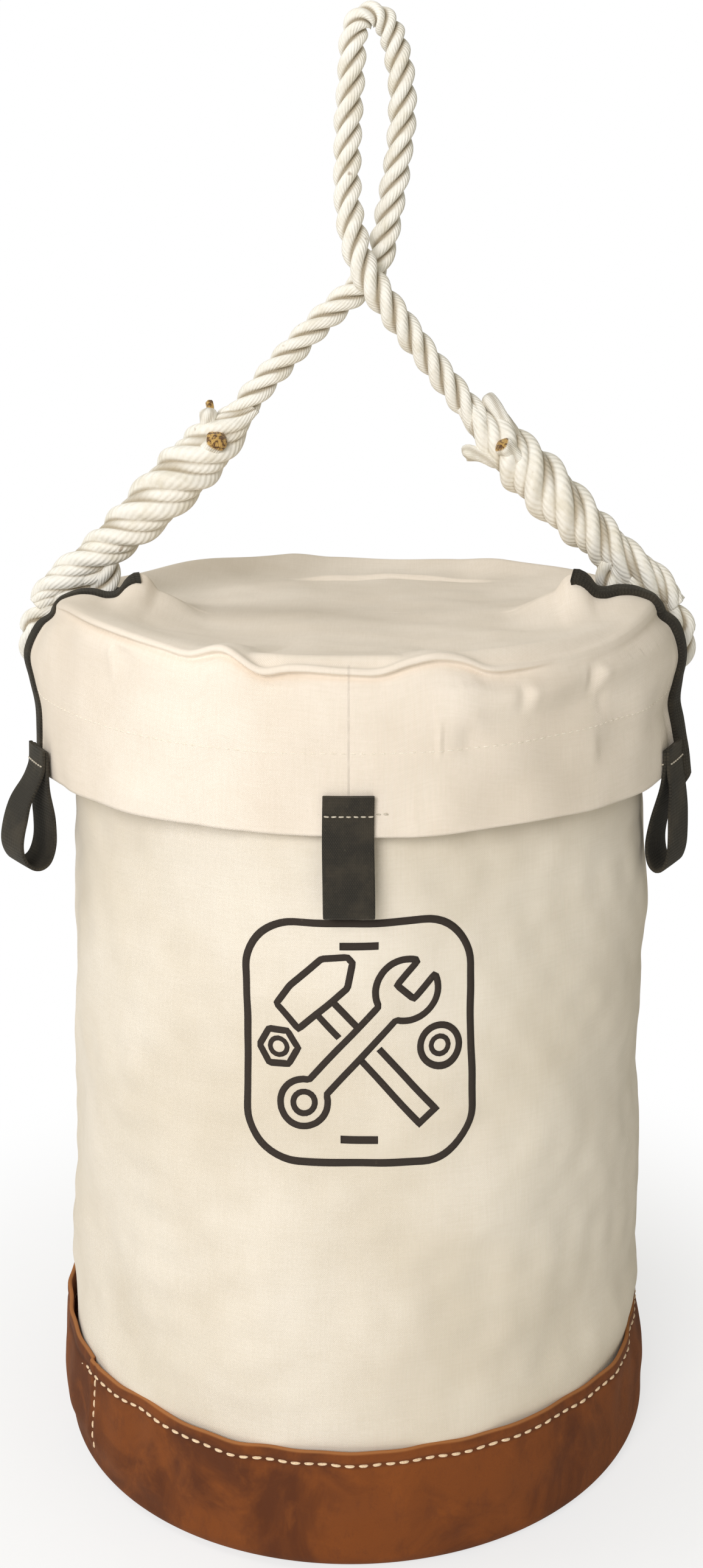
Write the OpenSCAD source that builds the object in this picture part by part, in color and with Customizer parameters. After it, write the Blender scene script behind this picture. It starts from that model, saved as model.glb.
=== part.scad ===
// Canvas tool bucket with a leather boot, a soft lid with three pull loops,
// and a spliced rope handle that ends in a lifting eye.
// Origin: centre of the underside. Front is -Y, up is +Z. Millimetres.

/* [Bucket] */
// Outside diameter of the canvas wall
bucket_d = 304.8; // [280:0.2:330]
// Height of the rim above the underside
rim_h = 428; // [380:1:470]
// Thickness of the outer canvas
canvas_t = 1.8; // [1.4:0.1:2.2]
// Thickness of the lining
lining_t = 1.2; // [0.8:0.1:1.6]
// Thickness of the leather
leather_t = 2.4; // [1.8:0.1:3]
// Height of the leather boot
boot_h = 57; // [45:1:80]
// Outer rounding between the boot and the underside
base_round = 14; // [12:1:20]
// Diameter of the steel hoop wire in the rim
hoop_d = 5.4; // [4:0.1:6]

/* [Lid] */
// Radius of the lid at the front
lid_r = 162; // [160:0.5:168]
// How far the skirt stands out further at the two sides
side_push = 9; // [4:0.5:12]
// Thickness of the lid canvas
lid_t = 2.4; // [2:0.1:2.8]
// Height of the skirt from hem to lid
skirt_h = 78; // [65:1:90]
// Height of the hem stitching above the hem
hem_depth = 37; // [25:1:45]
// Distance from the handle plane to the line where the front flap folds
fold_y = 20; // [18:0.5:24]
// Distance from the centre to the inner end of the rope slots
slot_x = 118; // [110:1:120]
// Half width of the rope slots behind the handle plane
slot_y = 12; // [11:0.5:14]

/* [Webbing] */
// Thickness of one layer of webbing
webbing_t = 1.8; // [1.4:0.1:2]
// Width of the pull loops
loop_w = 25; // [20:1:28]
// Width of the edge binding on each face
binding_w = 9; // [7:0.5:11]
// Free length of the front pull loop
front_loop_len = 47; // [40:1:55]
// Free length of the two side pull loops
side_loop_len = 55; // [45:1:60]

/* [Rope] */
// Diameter of the rope
rope_d = 15; // [13:0.5:15]
// Diameter of a splice, where the rope lies doubled
splice_d = 26; // [22:0.5:26]
// Length of a splice
splice_len = 105; // [90:1:115]
// Height of the point where the two rope legs cross
crossing_z = 606; // [596:1:616]
// Sideways place of the crossing
crossing_x = 9; // [0:1:10]
// Overall height to the top of the lifting eye
overall_h = 757; // [745:1:770]

/* [Hidden] */

$fn = 96;
gap = 0.2;

CANVAS = "#efe4cb";
LINING = "#d9cdb4";
LEATHER = "#7c4823";
WEBBING = "#35322c";
ROPE = "#f1ece0";
THREAD = "#f5e6cf";

// Radii of the layers, from the wall outwards and inwards
bucket_r = bucket_d / 2;
boot_r = bucket_r + gap + leather_t;
corner_r = boot_r - base_round;
canvas_corner = base_round - leather_t - gap;
lining_corner = canvas_corner - canvas_t - gap;
floor_r = corner_r - 6;
sole_r = corner_r - 1;

// Rim: a canvas hem rolled round the hoop
hem_r = hoop_d / 2 + gap + 1.3;
hem_x = bucket_r - canvas_t - 0.6;
hem_z = rim_h - hem_r;
rim_stitch_z = hem_z - hem_r - 4;

// Lid: flat panel over the rim, with a skirt outside it
lid_z = rim_h + lid_t + 0.6;
lid_top_z = lid_z + lid_t / 2;
lid_under_z = lid_z - lid_t / 2;
hem_edge_z = lid_under_z - skirt_h;
fold_gap = lid_t / 2 + 0.3;
flap_edge_y = -fold_y - fold_gap;
rear_r = bucket_r + 6;
binding_t = 1.2;

// Rope eyes round the rim: a ring with two legs that meet at the throat
rope_r = rope_d / 2;
eye_r = 21;
eye_x = bucket_r + 4.6;
eye_z = rim_h - 18;
throat_lean = 20;
throat_len = 49;
throat_x = eye_x - throat_len * sin(throat_lean);
throat_z = eye_z + throat_len * cos(throat_lean);
throat_clear = 18;
// Extra radius of the balls that join rope runs
joint_swell = 0.4;
grommet_hole_r = 11;
grommet_z = eye_z - sqrt(eye_r * eye_r - pow(eye_x - bucket_r, 2)) + 0.8;

// Lifting eye: a narrow loop that stands on the crossing
loop_r = 14.8;
loop_shift = 1.5;
loop_top_z = overall_h - rope_r - loop_r;
loop_foot_z = crossing_z + 20;
loop_foot_r = 10.5;
crossing_y = rope_r + 0.5;

// Stitches
thread_r = 0.55;
stitch_len = 4.4;
boot_stitch_z = boot_h - 7;
boot_stitch_pitch = 6.5;
canvas_stitch_pitch = 7;
boot_seam_angle = -58;

// Pull loops: [angle from the front, height of the hinge, free length]
front_loop = [0, hem_edge_z + 7, front_loop_len];
left_loop = [-78, hem_edge_z - 1, side_loop_len];
right_loop = [78, hem_edge_z - 1, side_loop_len];
loop_base_h = 12;
loop_base_rise = 4;
loop_tack_rise = 9;
loop_bend_r = 11;

// Radius of the lid outline at an angle from the front
function outline_r(phi) = lid_r + side_push * pow(abs(sin(phi)), 8);

// Point on the lid outline, moved outwards by a distance
function outline_at(phi, out = 0) =
    [(outline_r(phi) + out) * sin(phi), -(outline_r(phi) + out) * cos(phi)];

// Inner surface of a pull loop's sewn end; the side ones lie over the edge binding
function loop_base_r(loop) =
    outline_r(loop[0]) + gap + (loop[0] == 0 ? 0 : binding_t + 3 * gap);

// Radius of a pull loop's hinge line
function loop_hinge_r(loop) = loop_base_r(loop) + webbing_t;

// ---------- shared shapes ----------

// Places children at an angle from the front, facing outwards along -Y
module at_angle(phi) {
    rotate([0, 0, phi]) children();
}

module mirror_if(flip) {
    mirror([flip ? 1 : 0, 0, 0]) children();
}

// Sheet that runs down the wall, round the lower corner and inwards along the floor
module cup_sheet(corner_out, thickness, floor_to, top) {
    corner_in = corner_out - thickness;
    rotate_extrude($fn = 180) {
        translate([corner_r + corner_in, base_round]) square([thickness, top - base_round]);
        translate([floor_to, base_round - corner_out]) square([corner_r - floor_to, thickness]);
        translate([corner_r, base_round]) intersection() {
            difference() {
                circle(corner_out);
                circle(corner_in);
            }
            translate([0, -corner_out]) square(corner_out);
        }
    }
}

// One stitch that lies along X and faces -Y
module stitch_across() {
    rotate([0, 90, 0]) cylinder(r = thread_r, h = stitch_len, center = true, $fn = 16);
}

// Ring of stitches, optionally over part of the circle
module stitch_ring(radius, height, pitch, from = 0, to = 360) {
    count = floor((to - from) * PI / 180 * radius / pitch);
    step = (to - from) / count;
    for (i = [0:count - 1]) {
        at_angle(from + (i + 0.5) * step) translate([0, -radius, height]) stitch_across();
    }
}

// Column of upright stitches
module stitch_column(phi, radius, from_z, to_z, pitch) {
    count = floor((to_z - from_z) / pitch);
    for (i = [0:count - 1]) {
        at_angle(phi) translate([0, -radius, from_z + (i + 0.5) * pitch])
            cylinder(r = thread_r, h = stitch_len, center = true, $fn = 16);
    }
}

// Curved band that follows the lid outline between two angles
module outline_band(inner, outer, from, to, steps = 40) {
    angles = [for (i = [0:steps]) from + (to - from) * i / steps];
    outside = [for (phi = angles) outline_at(phi, outer)];
    inside = [for (i = [steps:-1:0]) outline_at(angles[i], inner)];
    polygon(concat(outside, inside));
}

// Solid drop with its point along +Y: a cylinder and a wedge whose sides are its tangents
module drop_solid(radius, reach, width) {
    spread = acos(radius / reach);
    cylinder(r = radius, h = width, center = true);
    linear_extrude(width, center = true) polygon([
        [0, reach],
        [-radius * sin(spread), radius * cos(spread)],
        [0, 0],
        [radius * sin(spread), radius * cos(spread)]
    ]);
}

// Straight rope between two points
module rope_run(start, end, radius = rope_r) {
    run = end - start;
    flat = norm([run.x, run.y]);
    translate(start) rotate([0, atan2(flat, run.z), atan2(run.y, run.x)])
        cylinder(r = radius, h = norm(run), $fn = 48);
}

module rope_ball(centre, radius = rope_r) {
    translate(centre) sphere(radius, $fn = 48);
}

// ---------- bucket ----------

module wall_canvas() {
    color(CANVAS) difference() {
        union() {
            cup_sheet(canvas_corner, canvas_t, floor_r, hem_z);
            rotate_extrude($fn = 180) translate([hem_x, hem_z]) circle(hem_r, $fn = 48);
        }
        rotate_extrude($fn = 180) translate([hem_x, hem_z]) circle(hoop_d / 2 + gap, $fn = 48);
        grommet_holes();
    }
}

module wall_lining() {
    color(LINING) difference() {
        cup_sheet(lining_corner, lining_t, 0, hem_z - hem_r - gap);
        grommet_holes();
    }
}

module grommet_holes() {
    for (side = [-1, 1]) {
        translate([side * bucket_r, 0, grommet_z]) rotate([0, 90, 0])
            cylinder(r = grommet_hole_r + 2.1, h = 20, center = true);
    }
}

module floor_canvas() {
    color(CANVAS) translate([0, 0, base_round - canvas_corner])
        cylinder(r = floor_r - gap, h = canvas_t, $fn = 180);
}

module base_board() {
    board_t = 3;
    color("#3a3a3a") translate([0, 0, base_round - lining_corner + lining_t + gap])
        cylinder(r = corner_r - 1, h = board_t, $fn = 180);
}

module leather_sole() {
    color(LEATHER) cylinder(r = sole_r - gap, h = leather_t, $fn = 180);
}

module leather_boot() {
    color(LEATHER) cup_sheet(base_round, leather_t, sole_r, boot_h);
}

module boot_top_stitching() {
    color(THREAD) stitch_ring(boot_r + thread_r + gap, boot_stitch_z, boot_stitch_pitch);
}

module boot_seam_stitching() {
    color(THREAD) stitch_column(boot_seam_angle, boot_r + thread_r + gap, base_round + 2,
        boot_stitch_z - 2, boot_stitch_pitch);
}

module wall_seam_stitching() {
    seam_half = 1.6;
    color(THREAD) for (side = [-1, 1]) {
        stitch_column(180 + side * seam_half, bucket_r + thread_r + gap, boot_h + 4,
            hem_edge_z - 4, canvas_stitch_pitch);
    }
}

module rim_hoop() {
    color("silver") rotate_extrude($fn = 180) translate([hem_x, hem_z])
        circle(hoop_d / 2, $fn = 48);
}

module rim_hem_stitching() {
    color(THREAD) stitch_ring(bucket_r + thread_r + gap, rim_stitch_z, canvas_stitch_pitch);
}

// Grommet with flanges inside and outside the wall
module grommet(flip) {
    flange_r = grommet_hole_r + 5;
    flange_t = 1.1;
    barrel_t = 1.9;
    wall_in = bucket_r - canvas_t - gap - lining_t;
    inner_x = sqrt(wall_in * wall_in - flange_r * flange_r) - gap - flange_t;
    outer_x = bucket_r + gap + flange_t;
    color("#b59a5a") mirror_if(flip) translate([inner_x, 0, grommet_z]) rotate([0, 90, 0])
        rotate_extrude() {
            translate([grommet_hole_r, 0]) square([barrel_t, outer_x - inner_x]);
            translate([grommet_hole_r, 0]) square([flange_r - grommet_hole_r, flange_t]);
            translate([grommet_hole_r, outer_x - inner_x - flange_t])
                square([flange_r - grommet_hole_r, flange_t]);
        }
}

module left_grommet() {
    grommet(true);
}

module right_grommet() {
    grommet(false);
}

// Rope ring through the grommet and over the rim, open at the throat
module rope_eye(flip) {
    spread = acos(eye_r / throat_len);
    leg_len = throat_len * sin(spread) - throat_clear;
    color(ROPE) mirror_if(flip) translate([eye_x, 0, eye_z]) rotate([0, -throat_lean, 0]) {
        rotate([90, 0, 0]) rotate([0, 0, 90 + spread])
            rotate_extrude(angle = 360 - 2 * spread) translate([eye_r, 0])
                circle(rope_r, $fn = 48);
        for (side = [-1, 1]) {
            tangent = [side * eye_r * sin(spread), 0, eye_r * cos(spread)];
            along = [-side * cos(spread), 0, sin(spread)];
            rope_run(tangent, tangent + leg_len * along);
            rope_ball(tangent, rope_r + joint_swell);
        }
    }
}

module left_rope_eye() {
    rope_eye(true);
}

module right_rope_eye() {
    rope_eye(false);
}

// ---------- rear of the lid, sewn to the wall ----------

module lid_rear_panel() {
    color(CANVAS) difference() {
        translate([0, 0, lid_under_z]) cylinder(r = rear_r, h = lid_t, $fn = 180);
        translate([-200, -400 - fold_y + fold_gap, 0]) cube([400, 400, 500]);
        for (side = [-1, 1]) {
            translate([side * (slot_x + 100) - 100, slot_y - 200, 0]) cube([200, 200, 500]);
        }
    }
}

module lid_rear_skirt() {
    color(CANVAS) difference() {
        translate([0, 0, hem_edge_z]) cylinder(r = rear_r, h = skirt_h - gap, $fn = 180);
        cylinder(r = rear_r - lid_t, h = 600, $fn = 180);
        translate([-200, slot_y - 400, 0]) cube([400, 400, 600]);
    }
}

module lid_rear_stitching() {
    start = 180 - acos(slot_y / rear_r) + 5;
    color(THREAD) stitch_ring(rear_r + thread_r + gap, hem_edge_z + 7, canvas_stitch_pitch,
        start, 360 - start);
}

// Webbing folded round an edge that runs along +X, with the cloth on the +Y side
module folded_binding(length) {
    for (z = [lid_top_z + gap, lid_under_z - gap - binding_t]) {
        translate([0, -gap, z]) cube([length, binding_w, binding_t]);
    }
    translate([0, -gap - binding_t, lid_under_z - gap - binding_t])
        cube([length, binding_t, lid_t + 2 * (gap + binding_t)]);
}

// Binding on the inner end and the rear edge of a rope slot
module slot_binding(flip) {
    inner_len = slot_y + fold_y - fold_gap - gap;
    rear_len = sqrt(pow(rear_r - lid_t - gap, 2) - pow(slot_y + binding_w, 2)) - slot_x;
    color(WEBBING) mirror_if(flip) {
        translate([slot_x, slot_y - inner_len, 0]) rotate([0, 0, 90]) folded_binding(inner_len);
        translate([slot_x + gap + binding_t, slot_y, 0])
            folded_binding(rear_len - gap - binding_t);
        translate([slot_x, slot_y, lid_top_z + gap])
            cube([gap + binding_t, binding_w - gap, binding_t]);
    }
}

module left_slot_binding() {
    slot_binding(true);
}

module right_slot_binding() {
    slot_binding(false);
}

// ---------- front flap of the lid ----------

// Angle from the front at which the outline meets the flap's rear edge
function flap_angle() = 90 - asin(-flap_edge_y / (lid_r + side_push));

// Keeps only what lies in front of the fold
module in_front_of_fold() {
    intersection() {
        children();
        translate([-250, -250, 0]) cube([500, 250 + flap_edge_y, 800]);
    }
}

module lid_front_panel() {
    color(CANVAS) in_front_of_fold() translate([0, 0, lid_under_z])
        linear_extrude(lid_t) outline_band(-lid_r, 0, -90, 90, 72);
}

module lid_skirt() {
    color(CANVAS) in_front_of_fold() translate([0, 0, hem_edge_z])
        linear_extrude(skirt_h - gap) outline_band(-lid_t, 0, -90, 90, 72);
}

module skirt_hem_stitching() {
    span = flap_angle() - 6;
    count = floor(2 * span * PI / 180 * lid_r / canvas_stitch_pitch);
    color(THREAD) for (i = [0:count]) {
        phi = -span + 2 * span * i / count;
        at_angle(phi) translate([0, -outline_r(phi) - thread_r - 2 * gap, hem_edge_z + hem_depth])
            stitch_across();
    }
}

// Binding down the skirt's side edge and along the top edge to the slot
module edge_binding(flip) {
    to = flap_angle() + 0.4;
    from = to - binding_w * 180 / PI / (lid_r + side_push);
    top_in = slot_x + 3;
    edge = outline_at(flap_angle() + 0.2);
    color(WEBBING) mirror_if(flip) {
        translate([0, 0, hem_edge_z]) linear_extrude(skirt_h - gap) {
            outline_band(gap, gap + binding_t, from, to, 6);
            outline_band(-lid_t - gap - binding_t, -lid_t - gap, from, to, 6);
            translate([edge.x - lid_t - gap - binding_t, flap_edge_y + gap])
                square([lid_t + 2 * (gap + binding_t), binding_t]);
        }
        translate([top_in, flap_edge_y, 0]) mirror([0, 1, 0]) folded_binding_above(edge.x - top_in);
    }
}

// Upper half of a folded binding, with a lip down over the edge
module folded_binding_above(length) {
    translate([0, -gap, lid_top_z + gap]) cube([length, binding_w, binding_t]);
    translate([0, -gap - binding_t, lid_under_z + gap])
        cube([length, binding_t, lid_t + binding_t]);
}

module left_edge_binding() {
    edge_binding(true);
}

module right_edge_binding() {
    edge_binding(false);
}

// Sewn end of a pull loop, flat on the skirt
module loop_base(loop) {
    color(WEBBING) at_angle(loop[0])
        translate([-loop_w / 2, -loop_base_r(loop) - 2 * webbing_t, loop[1] + loop_base_rise])
            cube([loop_w, 2 * webbing_t, loop_base_h]);
}

module front_loop_base() {
    loop_base(front_loop);
}

module left_loop_base() {
    loop_base(left_loop);
}

module right_loop_base() {
    loop_base(right_loop);
}

// Bar of thread that holds a pull loop's sewn end
module loop_tack(loop) {
    tack_len = loop_w + 4;
    color(THREAD) at_angle(loop[0])
        translate([0, -loop_base_r(loop) - 2 * webbing_t - thread_r - gap,
            loop[1] + loop_tack_rise])
            rotate([0, 90, 0]) cylinder(r = thread_r, h = tack_len, center = true, $fn = 16);
}

module front_loop_tack() {
    loop_tack(front_loop);
}

module left_loop_tack() {
    loop_tack(left_loop);
}

module right_loop_tack() {
    loop_tack(right_loop);
}

// Free part of a pull loop: a hanging drop of webbing, its inner side upright
module pull_loop(loop) {
    reach = loop[2] - loop_bend_r - webbing_t / 2;
    lean = asin(loop_bend_r / reach);
    outer = loop_bend_r + webbing_t / 2;
    inner = loop_bend_r - webbing_t / 2;
    color(WEBBING) at_angle(loop[0]) translate([0, -loop_hinge_r(loop), loop[1]])
        rotate([-lean, 0, 0]) translate([0, 0, -reach]) rotate([90, 0, 90]) difference() {
            drop_solid(outer, reach * outer / loop_bend_r, loop_w);
            drop_solid(inner, reach * inner / loop_bend_r, loop_w + 2);
            translate([-loop_w, reach - 1, -loop_w]) cube(2 * loop_w);
        }
}

module front_pull_loop() {
    pull_loop(front_loop);
}

module left_pull_loop() {
    pull_loop(left_loop);
}

module right_pull_loop() {
    pull_loop(right_loop);
}

// ---------- rope handle ----------

// Direction of a rope leg from the throat towards the crossing
function leg_run(flip) =
    [(flip ? -1 : 1) * crossing_x - throat_x, (flip ? 1 : -1) * crossing_y,
        crossing_z - 2 - throat_z];

// Places children with +Z along the leg and the origin at the throat
module along_leg(flip) {
    run = leg_run(flip);
    mirror_if(flip) translate([throat_x, 0, throat_z])
        rotate([0, atan2(norm([run.x, run.y]), run.z), atan2(run.y, run.x)]) children();
}

module splice(flip) {
    swell = 22;
    taper = 30;
    neck_r = rope_r + 0.5;
    color(ROPE) along_leg(flip) {
        sphere(neck_r, $fn = 48);
        cylinder(r1 = neck_r, r2 = splice_d / 2, h = swell, $fn = 48);
        translate([0, 0, swell])
            cylinder(r = splice_d / 2, h = splice_len - swell - taper, $fn = 48);
        translate([0, 0, splice_len - taper])
            cylinder(r1 = splice_d / 2, r2 = rope_r, h = taper, $fn = 48);
    }
}

module left_splice() {
    splice(true);
}

module right_splice() {
    splice(false);
}

// Three strand ends that stand out where the splice runs out
module splice_tails(flip) {
    tail_r = 2.6;
    tail_len = 15;
    color(ROPE) along_leg(flip) for (turn = [20, 140, 260]) {
        rotate([0, 0, turn]) translate([rope_r + tail_r + 0.3, 0, splice_len + gap])
            cylinder(r = tail_r, h = tail_len, $fn = 24);
    }
}

module left_splice_tails() {
    splice_tails(true);
}

module right_splice_tails() {
    splice_tails(false);
}

module rope_leg(flip) {
    leg_len = norm(leg_run(flip));
    color(ROPE) along_leg(flip) {
        translate([0, 0, splice_len + gap])
            cylinder(r = rope_r, h = leg_len - splice_len - gap, $fn = 48);
        translate([0, 0, leg_len]) sphere(rope_r, $fn = 48);
    }
}

module left_rope_leg() {
    rope_leg(true);
}

module right_rope_leg() {
    rope_leg(false);
}

// Loop of rope above the crossing
module lifting_eye() {
    color(ROPE) {
        translate([crossing_x + loop_shift, 0, loop_top_z]) rotate([90, 0, 0])
            rotate_extrude(angle = 180) translate([loop_r, 0]) circle(rope_r, $fn = 48);
        for (side = [-1, 1]) {
            head = [crossing_x + loop_shift + side * loop_r, 0, loop_top_z];
            foot = [crossing_x + side * loop_foot_r, 0, loop_foot_z];
            rope_run(foot, head);
            rope_ball(head, rope_r + joint_swell);
            rope_ball(foot, rope_r + joint_swell);
        }
    }
}

wall_canvas();
wall_lining();
floor_canvas();
base_board();
leather_sole();
leather_boot();
boot_top_stitching();
boot_seam_stitching();
wall_seam_stitching();
rim_hoop();
rim_hem_stitching();
left_grommet();
right_grommet();
left_rope_eye();
right_rope_eye();
lid_rear_panel();
lid_rear_skirt();
lid_rear_stitching();
left_slot_binding();
right_slot_binding();
lid_front_panel();
lid_skirt();
skirt_hem_stitching();
left_edge_binding();
right_edge_binding();
front_loop_base();
left_loop_base();
right_loop_base();
front_loop_tack();
left_loop_tack();
right_loop_tack();
front_pull_loop();
left_pull_loop();
right_pull_loop();
left_splice();
right_splice();
left_splice_tails();
right_splice_tails();
left_rope_leg();
right_rope_leg();
lifting_eye();
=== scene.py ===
"""Looks of the canvas tool bucket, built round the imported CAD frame.

All shapes are worked out in millimetres in the frame of the CAD model: Z up, front towards -Y, origin under
the middle of the base. They are turned into metres when a mesh is made. Angles called phi run round the
bucket from its front, positive towards +X.
"""

import math

import bmesh
import bpy
import numpy as np
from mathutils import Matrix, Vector


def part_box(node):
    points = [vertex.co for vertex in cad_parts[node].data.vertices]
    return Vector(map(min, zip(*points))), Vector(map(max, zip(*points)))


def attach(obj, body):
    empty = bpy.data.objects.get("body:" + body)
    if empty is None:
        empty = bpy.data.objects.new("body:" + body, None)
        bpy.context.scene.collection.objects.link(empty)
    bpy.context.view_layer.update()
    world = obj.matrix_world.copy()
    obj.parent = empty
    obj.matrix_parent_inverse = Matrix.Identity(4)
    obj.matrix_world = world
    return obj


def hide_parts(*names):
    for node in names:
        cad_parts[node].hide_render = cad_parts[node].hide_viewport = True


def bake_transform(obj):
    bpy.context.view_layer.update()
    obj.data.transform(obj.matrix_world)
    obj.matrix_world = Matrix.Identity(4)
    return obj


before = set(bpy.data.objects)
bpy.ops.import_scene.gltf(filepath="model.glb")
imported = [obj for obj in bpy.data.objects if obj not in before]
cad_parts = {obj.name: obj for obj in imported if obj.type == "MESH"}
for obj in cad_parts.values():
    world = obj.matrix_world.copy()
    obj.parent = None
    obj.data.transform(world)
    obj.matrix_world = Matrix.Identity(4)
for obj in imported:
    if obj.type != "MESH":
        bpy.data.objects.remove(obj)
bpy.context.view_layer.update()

MM = 0.001
TURN = 2 * math.pi

# ---------- sizes, read from the frame ----------


def box_mm(node):
    """Lowest and highest corner of a CAD node in millimetres."""
    low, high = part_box(node)
    return np.array(low) / MM, np.array(high) / MM


# Thicknesses of the sheets, and the gap left between two layers.
GAP = 0.2
CANVAS_T = 1.8
LINING_T = 1.2
LEATHER_T = 2.4
WEBBING_T = 1.8
LID_T = 2.0

bucket_r = box_mm("wall_lining")[1][0] + GAP + CANVAS_T
lining_r = bucket_r - CANVAS_T - GAP
hoop_low, hoop_high = box_mm("rim_hoop")
hoop_z = (hoop_low[2] + hoop_high[2]) / 2
hoop_wire_r = (hoop_high[2] - hoop_low[2]) / 2
hoop_r = hoop_high[0] - hoop_wire_r
boot_r = box_mm("leather_boot")[1][0]
boot_h = box_mm("leather_boot")[1][2]
sole_r = box_mm("leather_sole")[1][0]
board_top = box_mm("base_board")[1][2]
lid_top_z = box_mm("lid_front_panel")[1][2]
skirt_low, skirt_high = box_mm("lid_skirt")
hem_z = skirt_low[2]
skirt_front_r = -skirt_low[1]
skirt_side_r = skirt_high[0]
rear_r = box_mm("lid_rear_skirt")[1][1]
boot_stitch_z = box_mm("boot_top_stitching")[1][2]
hem_stitch_z = box_mm("skirt_hem_stitching")[1][2]
rim_stitch_z = box_mm("rim_hem_stitching")[1][2]
eye_low, eye_high = box_mm("right_rope_eye")
overall_h = box_mm("lifting_eye")[1][2]

# The rounding of the foot and the angle of the boot's lapped seam.
BASE_ROUND = 14.0
BOOT_SEAM = math.radians(-58)

# The rope slots at both sides of the lid run in to a radius of SLOT_IN. Their edges are at these distances
# in front of the rope and behind it.
SLOT_IN = 118.0
SLOT_FRONT = -skirt_high[1]
SLOT_REAR = 12.0

# The rope, and the middle line of its eyes round the rim.
ROPE_R = 7.5
EYE_R = 21.0
eye_x = eye_high[0] - EYE_R - ROPE_R
eye_z = eye_low[2] + EYE_R + ROPE_R


# ---------- number helpers ----------


def smooth(value, low, high):
    """0 below low, 1 above high, with a soft start and end."""
    t = np.clip((value - low) / (high - low), 0, 1)
    return t * t * (3 - 2 * t)


def hump(value, centre, width):
    """1 at the centre, falling off as a bell."""
    return np.exp(-(((value - centre) / width) ** 2))


def unit(vectors):
    """Vectors brought to length 1."""
    return vectors / np.maximum(np.linalg.norm(vectors, axis=-1, keepdims=True), 1e-12)


def ripple(phi, z, size, seed, stretch=1.0, waves=16):
    """Smooth random unevenness, about 1 high and size mm across, that closes round the circle."""
    rng = np.random.default_rng(seed)
    field = np.zeros(np.broadcast(phi, z).shape)
    for _ in range(waves):
        heading = rng.uniform(0, TURN)
        turns = round(TURN * bucket_r / size * math.cos(heading))
        rise = TURN / (size * stretch) * math.sin(heading)
        field = field + np.cos(turns * phi + rise * z + rng.uniform(0, TURN))
    return field / math.sqrt(waves / 2)


def flat_ripple(x, y, size, seed, waves=16):
    """Smooth random unevenness about 1 high on the flat of the lid."""
    rng = np.random.default_rng(seed)
    field = np.zeros(np.broadcast(x, y).shape)
    for heading, start in rng.uniform(0, TURN, (waves, 2)):
        field = field + np.cos(TURN / size * (math.cos(heading) * x + math.sin(heading) * y) + start)
    return field / math.sqrt(waves / 2)


def knots(values, at):
    """Smooth curve through a few (position, value) pairs, flat beyond the ends."""
    positions, heights = np.array(values, float).T
    slopes = np.gradient(heights, positions)
    slopes[0] = slopes[-1] = 0
    at = np.clip(at, positions[0], positions[-1])
    i = np.clip(np.searchsorted(positions, at) - 1, 0, len(positions) - 2)
    span = positions[i + 1] - positions[i]
    t = (at - positions[i]) / span
    return (
        heights[i] * (1 + 2 * t) * (1 - t) ** 2
        + slopes[i] * span * t * (1 - t) ** 2
        + heights[i + 1] * t * t * (3 - 2 * t)
        + slopes[i + 1] * span * t * t * (t - 1)
    )


def crease(phi, z, path, depth, width, radius=162.0):
    """Valley with a low ridge above it, along a line of (degrees, height) points on the skirt or wall."""
    line = np.array([(math.radians(a) * radius, h) for a, h in path])
    x, y = phi * radius, z
    best = np.full(np.broadcast(x, y).shape, 1e9)
    side = np.zeros_like(best)
    for start, end in zip(line[:-1], line[1:]):
        run = end - start
        t = np.clip(((x - start[0]) * run[0] + (y - start[1]) * run[1]) / (run @ run), 0, 1)
        off_x, off_y = x - start[0] - t * run[0], y - start[1] - t * run[1]
        distance = np.hypot(off_x, off_y)
        nearer = distance < best
        side = np.where(nearer, off_y, side)
        best = np.minimum(best, distance)
    valley = np.exp(-((best / width) ** 2))
    ridge = np.exp(-(((best - 1.6 * width) / width) ** 2)) * (side > 0)
    return depth * (0.45 * ridge - valley)


def catmull_rom(rings, steps):
    """Rows that pass smoothly through control rows, with steps[i] rows in gap i."""
    padded = np.concatenate([2 * rings[:1] - rings[1:2], rings, 2 * rings[-1:] - rings[-2:-1]])
    rows = []
    for i, count in enumerate(steps):
        p0, p1, p2, p3 = padded[i : i + 4]
        square = 2 * p0 - 5 * p1 + 4 * p2 - p3
        cube = 3 * p1 - p0 - 3 * p2 + p3
        for t in np.arange(count) / count:
            rows.append(0.5 * (2 * p1 + (p2 - p0) * t + square * t * t + cube * t**3))
    rows.append(rings[-1])
    return np.array(rows)


def arc_length(path):
    """Distance run at each point of a path."""
    return np.concatenate([[0], np.cumsum(np.linalg.norm(np.diff(path, axis=0), axis=1))])


def resample(wanted, along, points):
    """Points at the wanted places, from points given at the places along."""
    return np.stack([np.interp(wanted, along, column) for column in np.transpose(points)], 1)


def smooth_path(points, step):
    """Evenly spaced points along a smooth curve through the given ones."""
    points = np.array(points, float)
    fine = catmull_rom(points, [24] * (len(points) - 1))
    along = arc_length(fine)
    count = max(2, int(round(along[-1] / step)) + 1)
    return resample(np.linspace(0, along[-1], count), along, fine)


def path_frames(path):
    """Tangent, normal and side vectors along a path, turning as little as possible."""
    tangents = unit(np.gradient(path, axis=0))
    normal = np.array([0.0, 1.0, 0.0])
    normals = []
    for tangent in tangents:
        normal = normal - (normal @ tangent) * tangent
        normal /= np.linalg.norm(normal)
        normals.append(normal)
    normals = np.array(normals)
    return tangents, normals, np.cross(tangents, normals)


def on_wall(phi, radius, z):
    """Points at angles from the front, radii and heights."""
    phi, radius, z = np.broadcast_arrays(phi, radius, z)
    return np.stack([radius * np.sin(phi), -radius * np.cos(phi), z], -1)


def outwards(phi):
    """Unit vectors that point level away from the bucket's axis."""
    return on_wall(phi, 1.0, 0.0)


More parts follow.
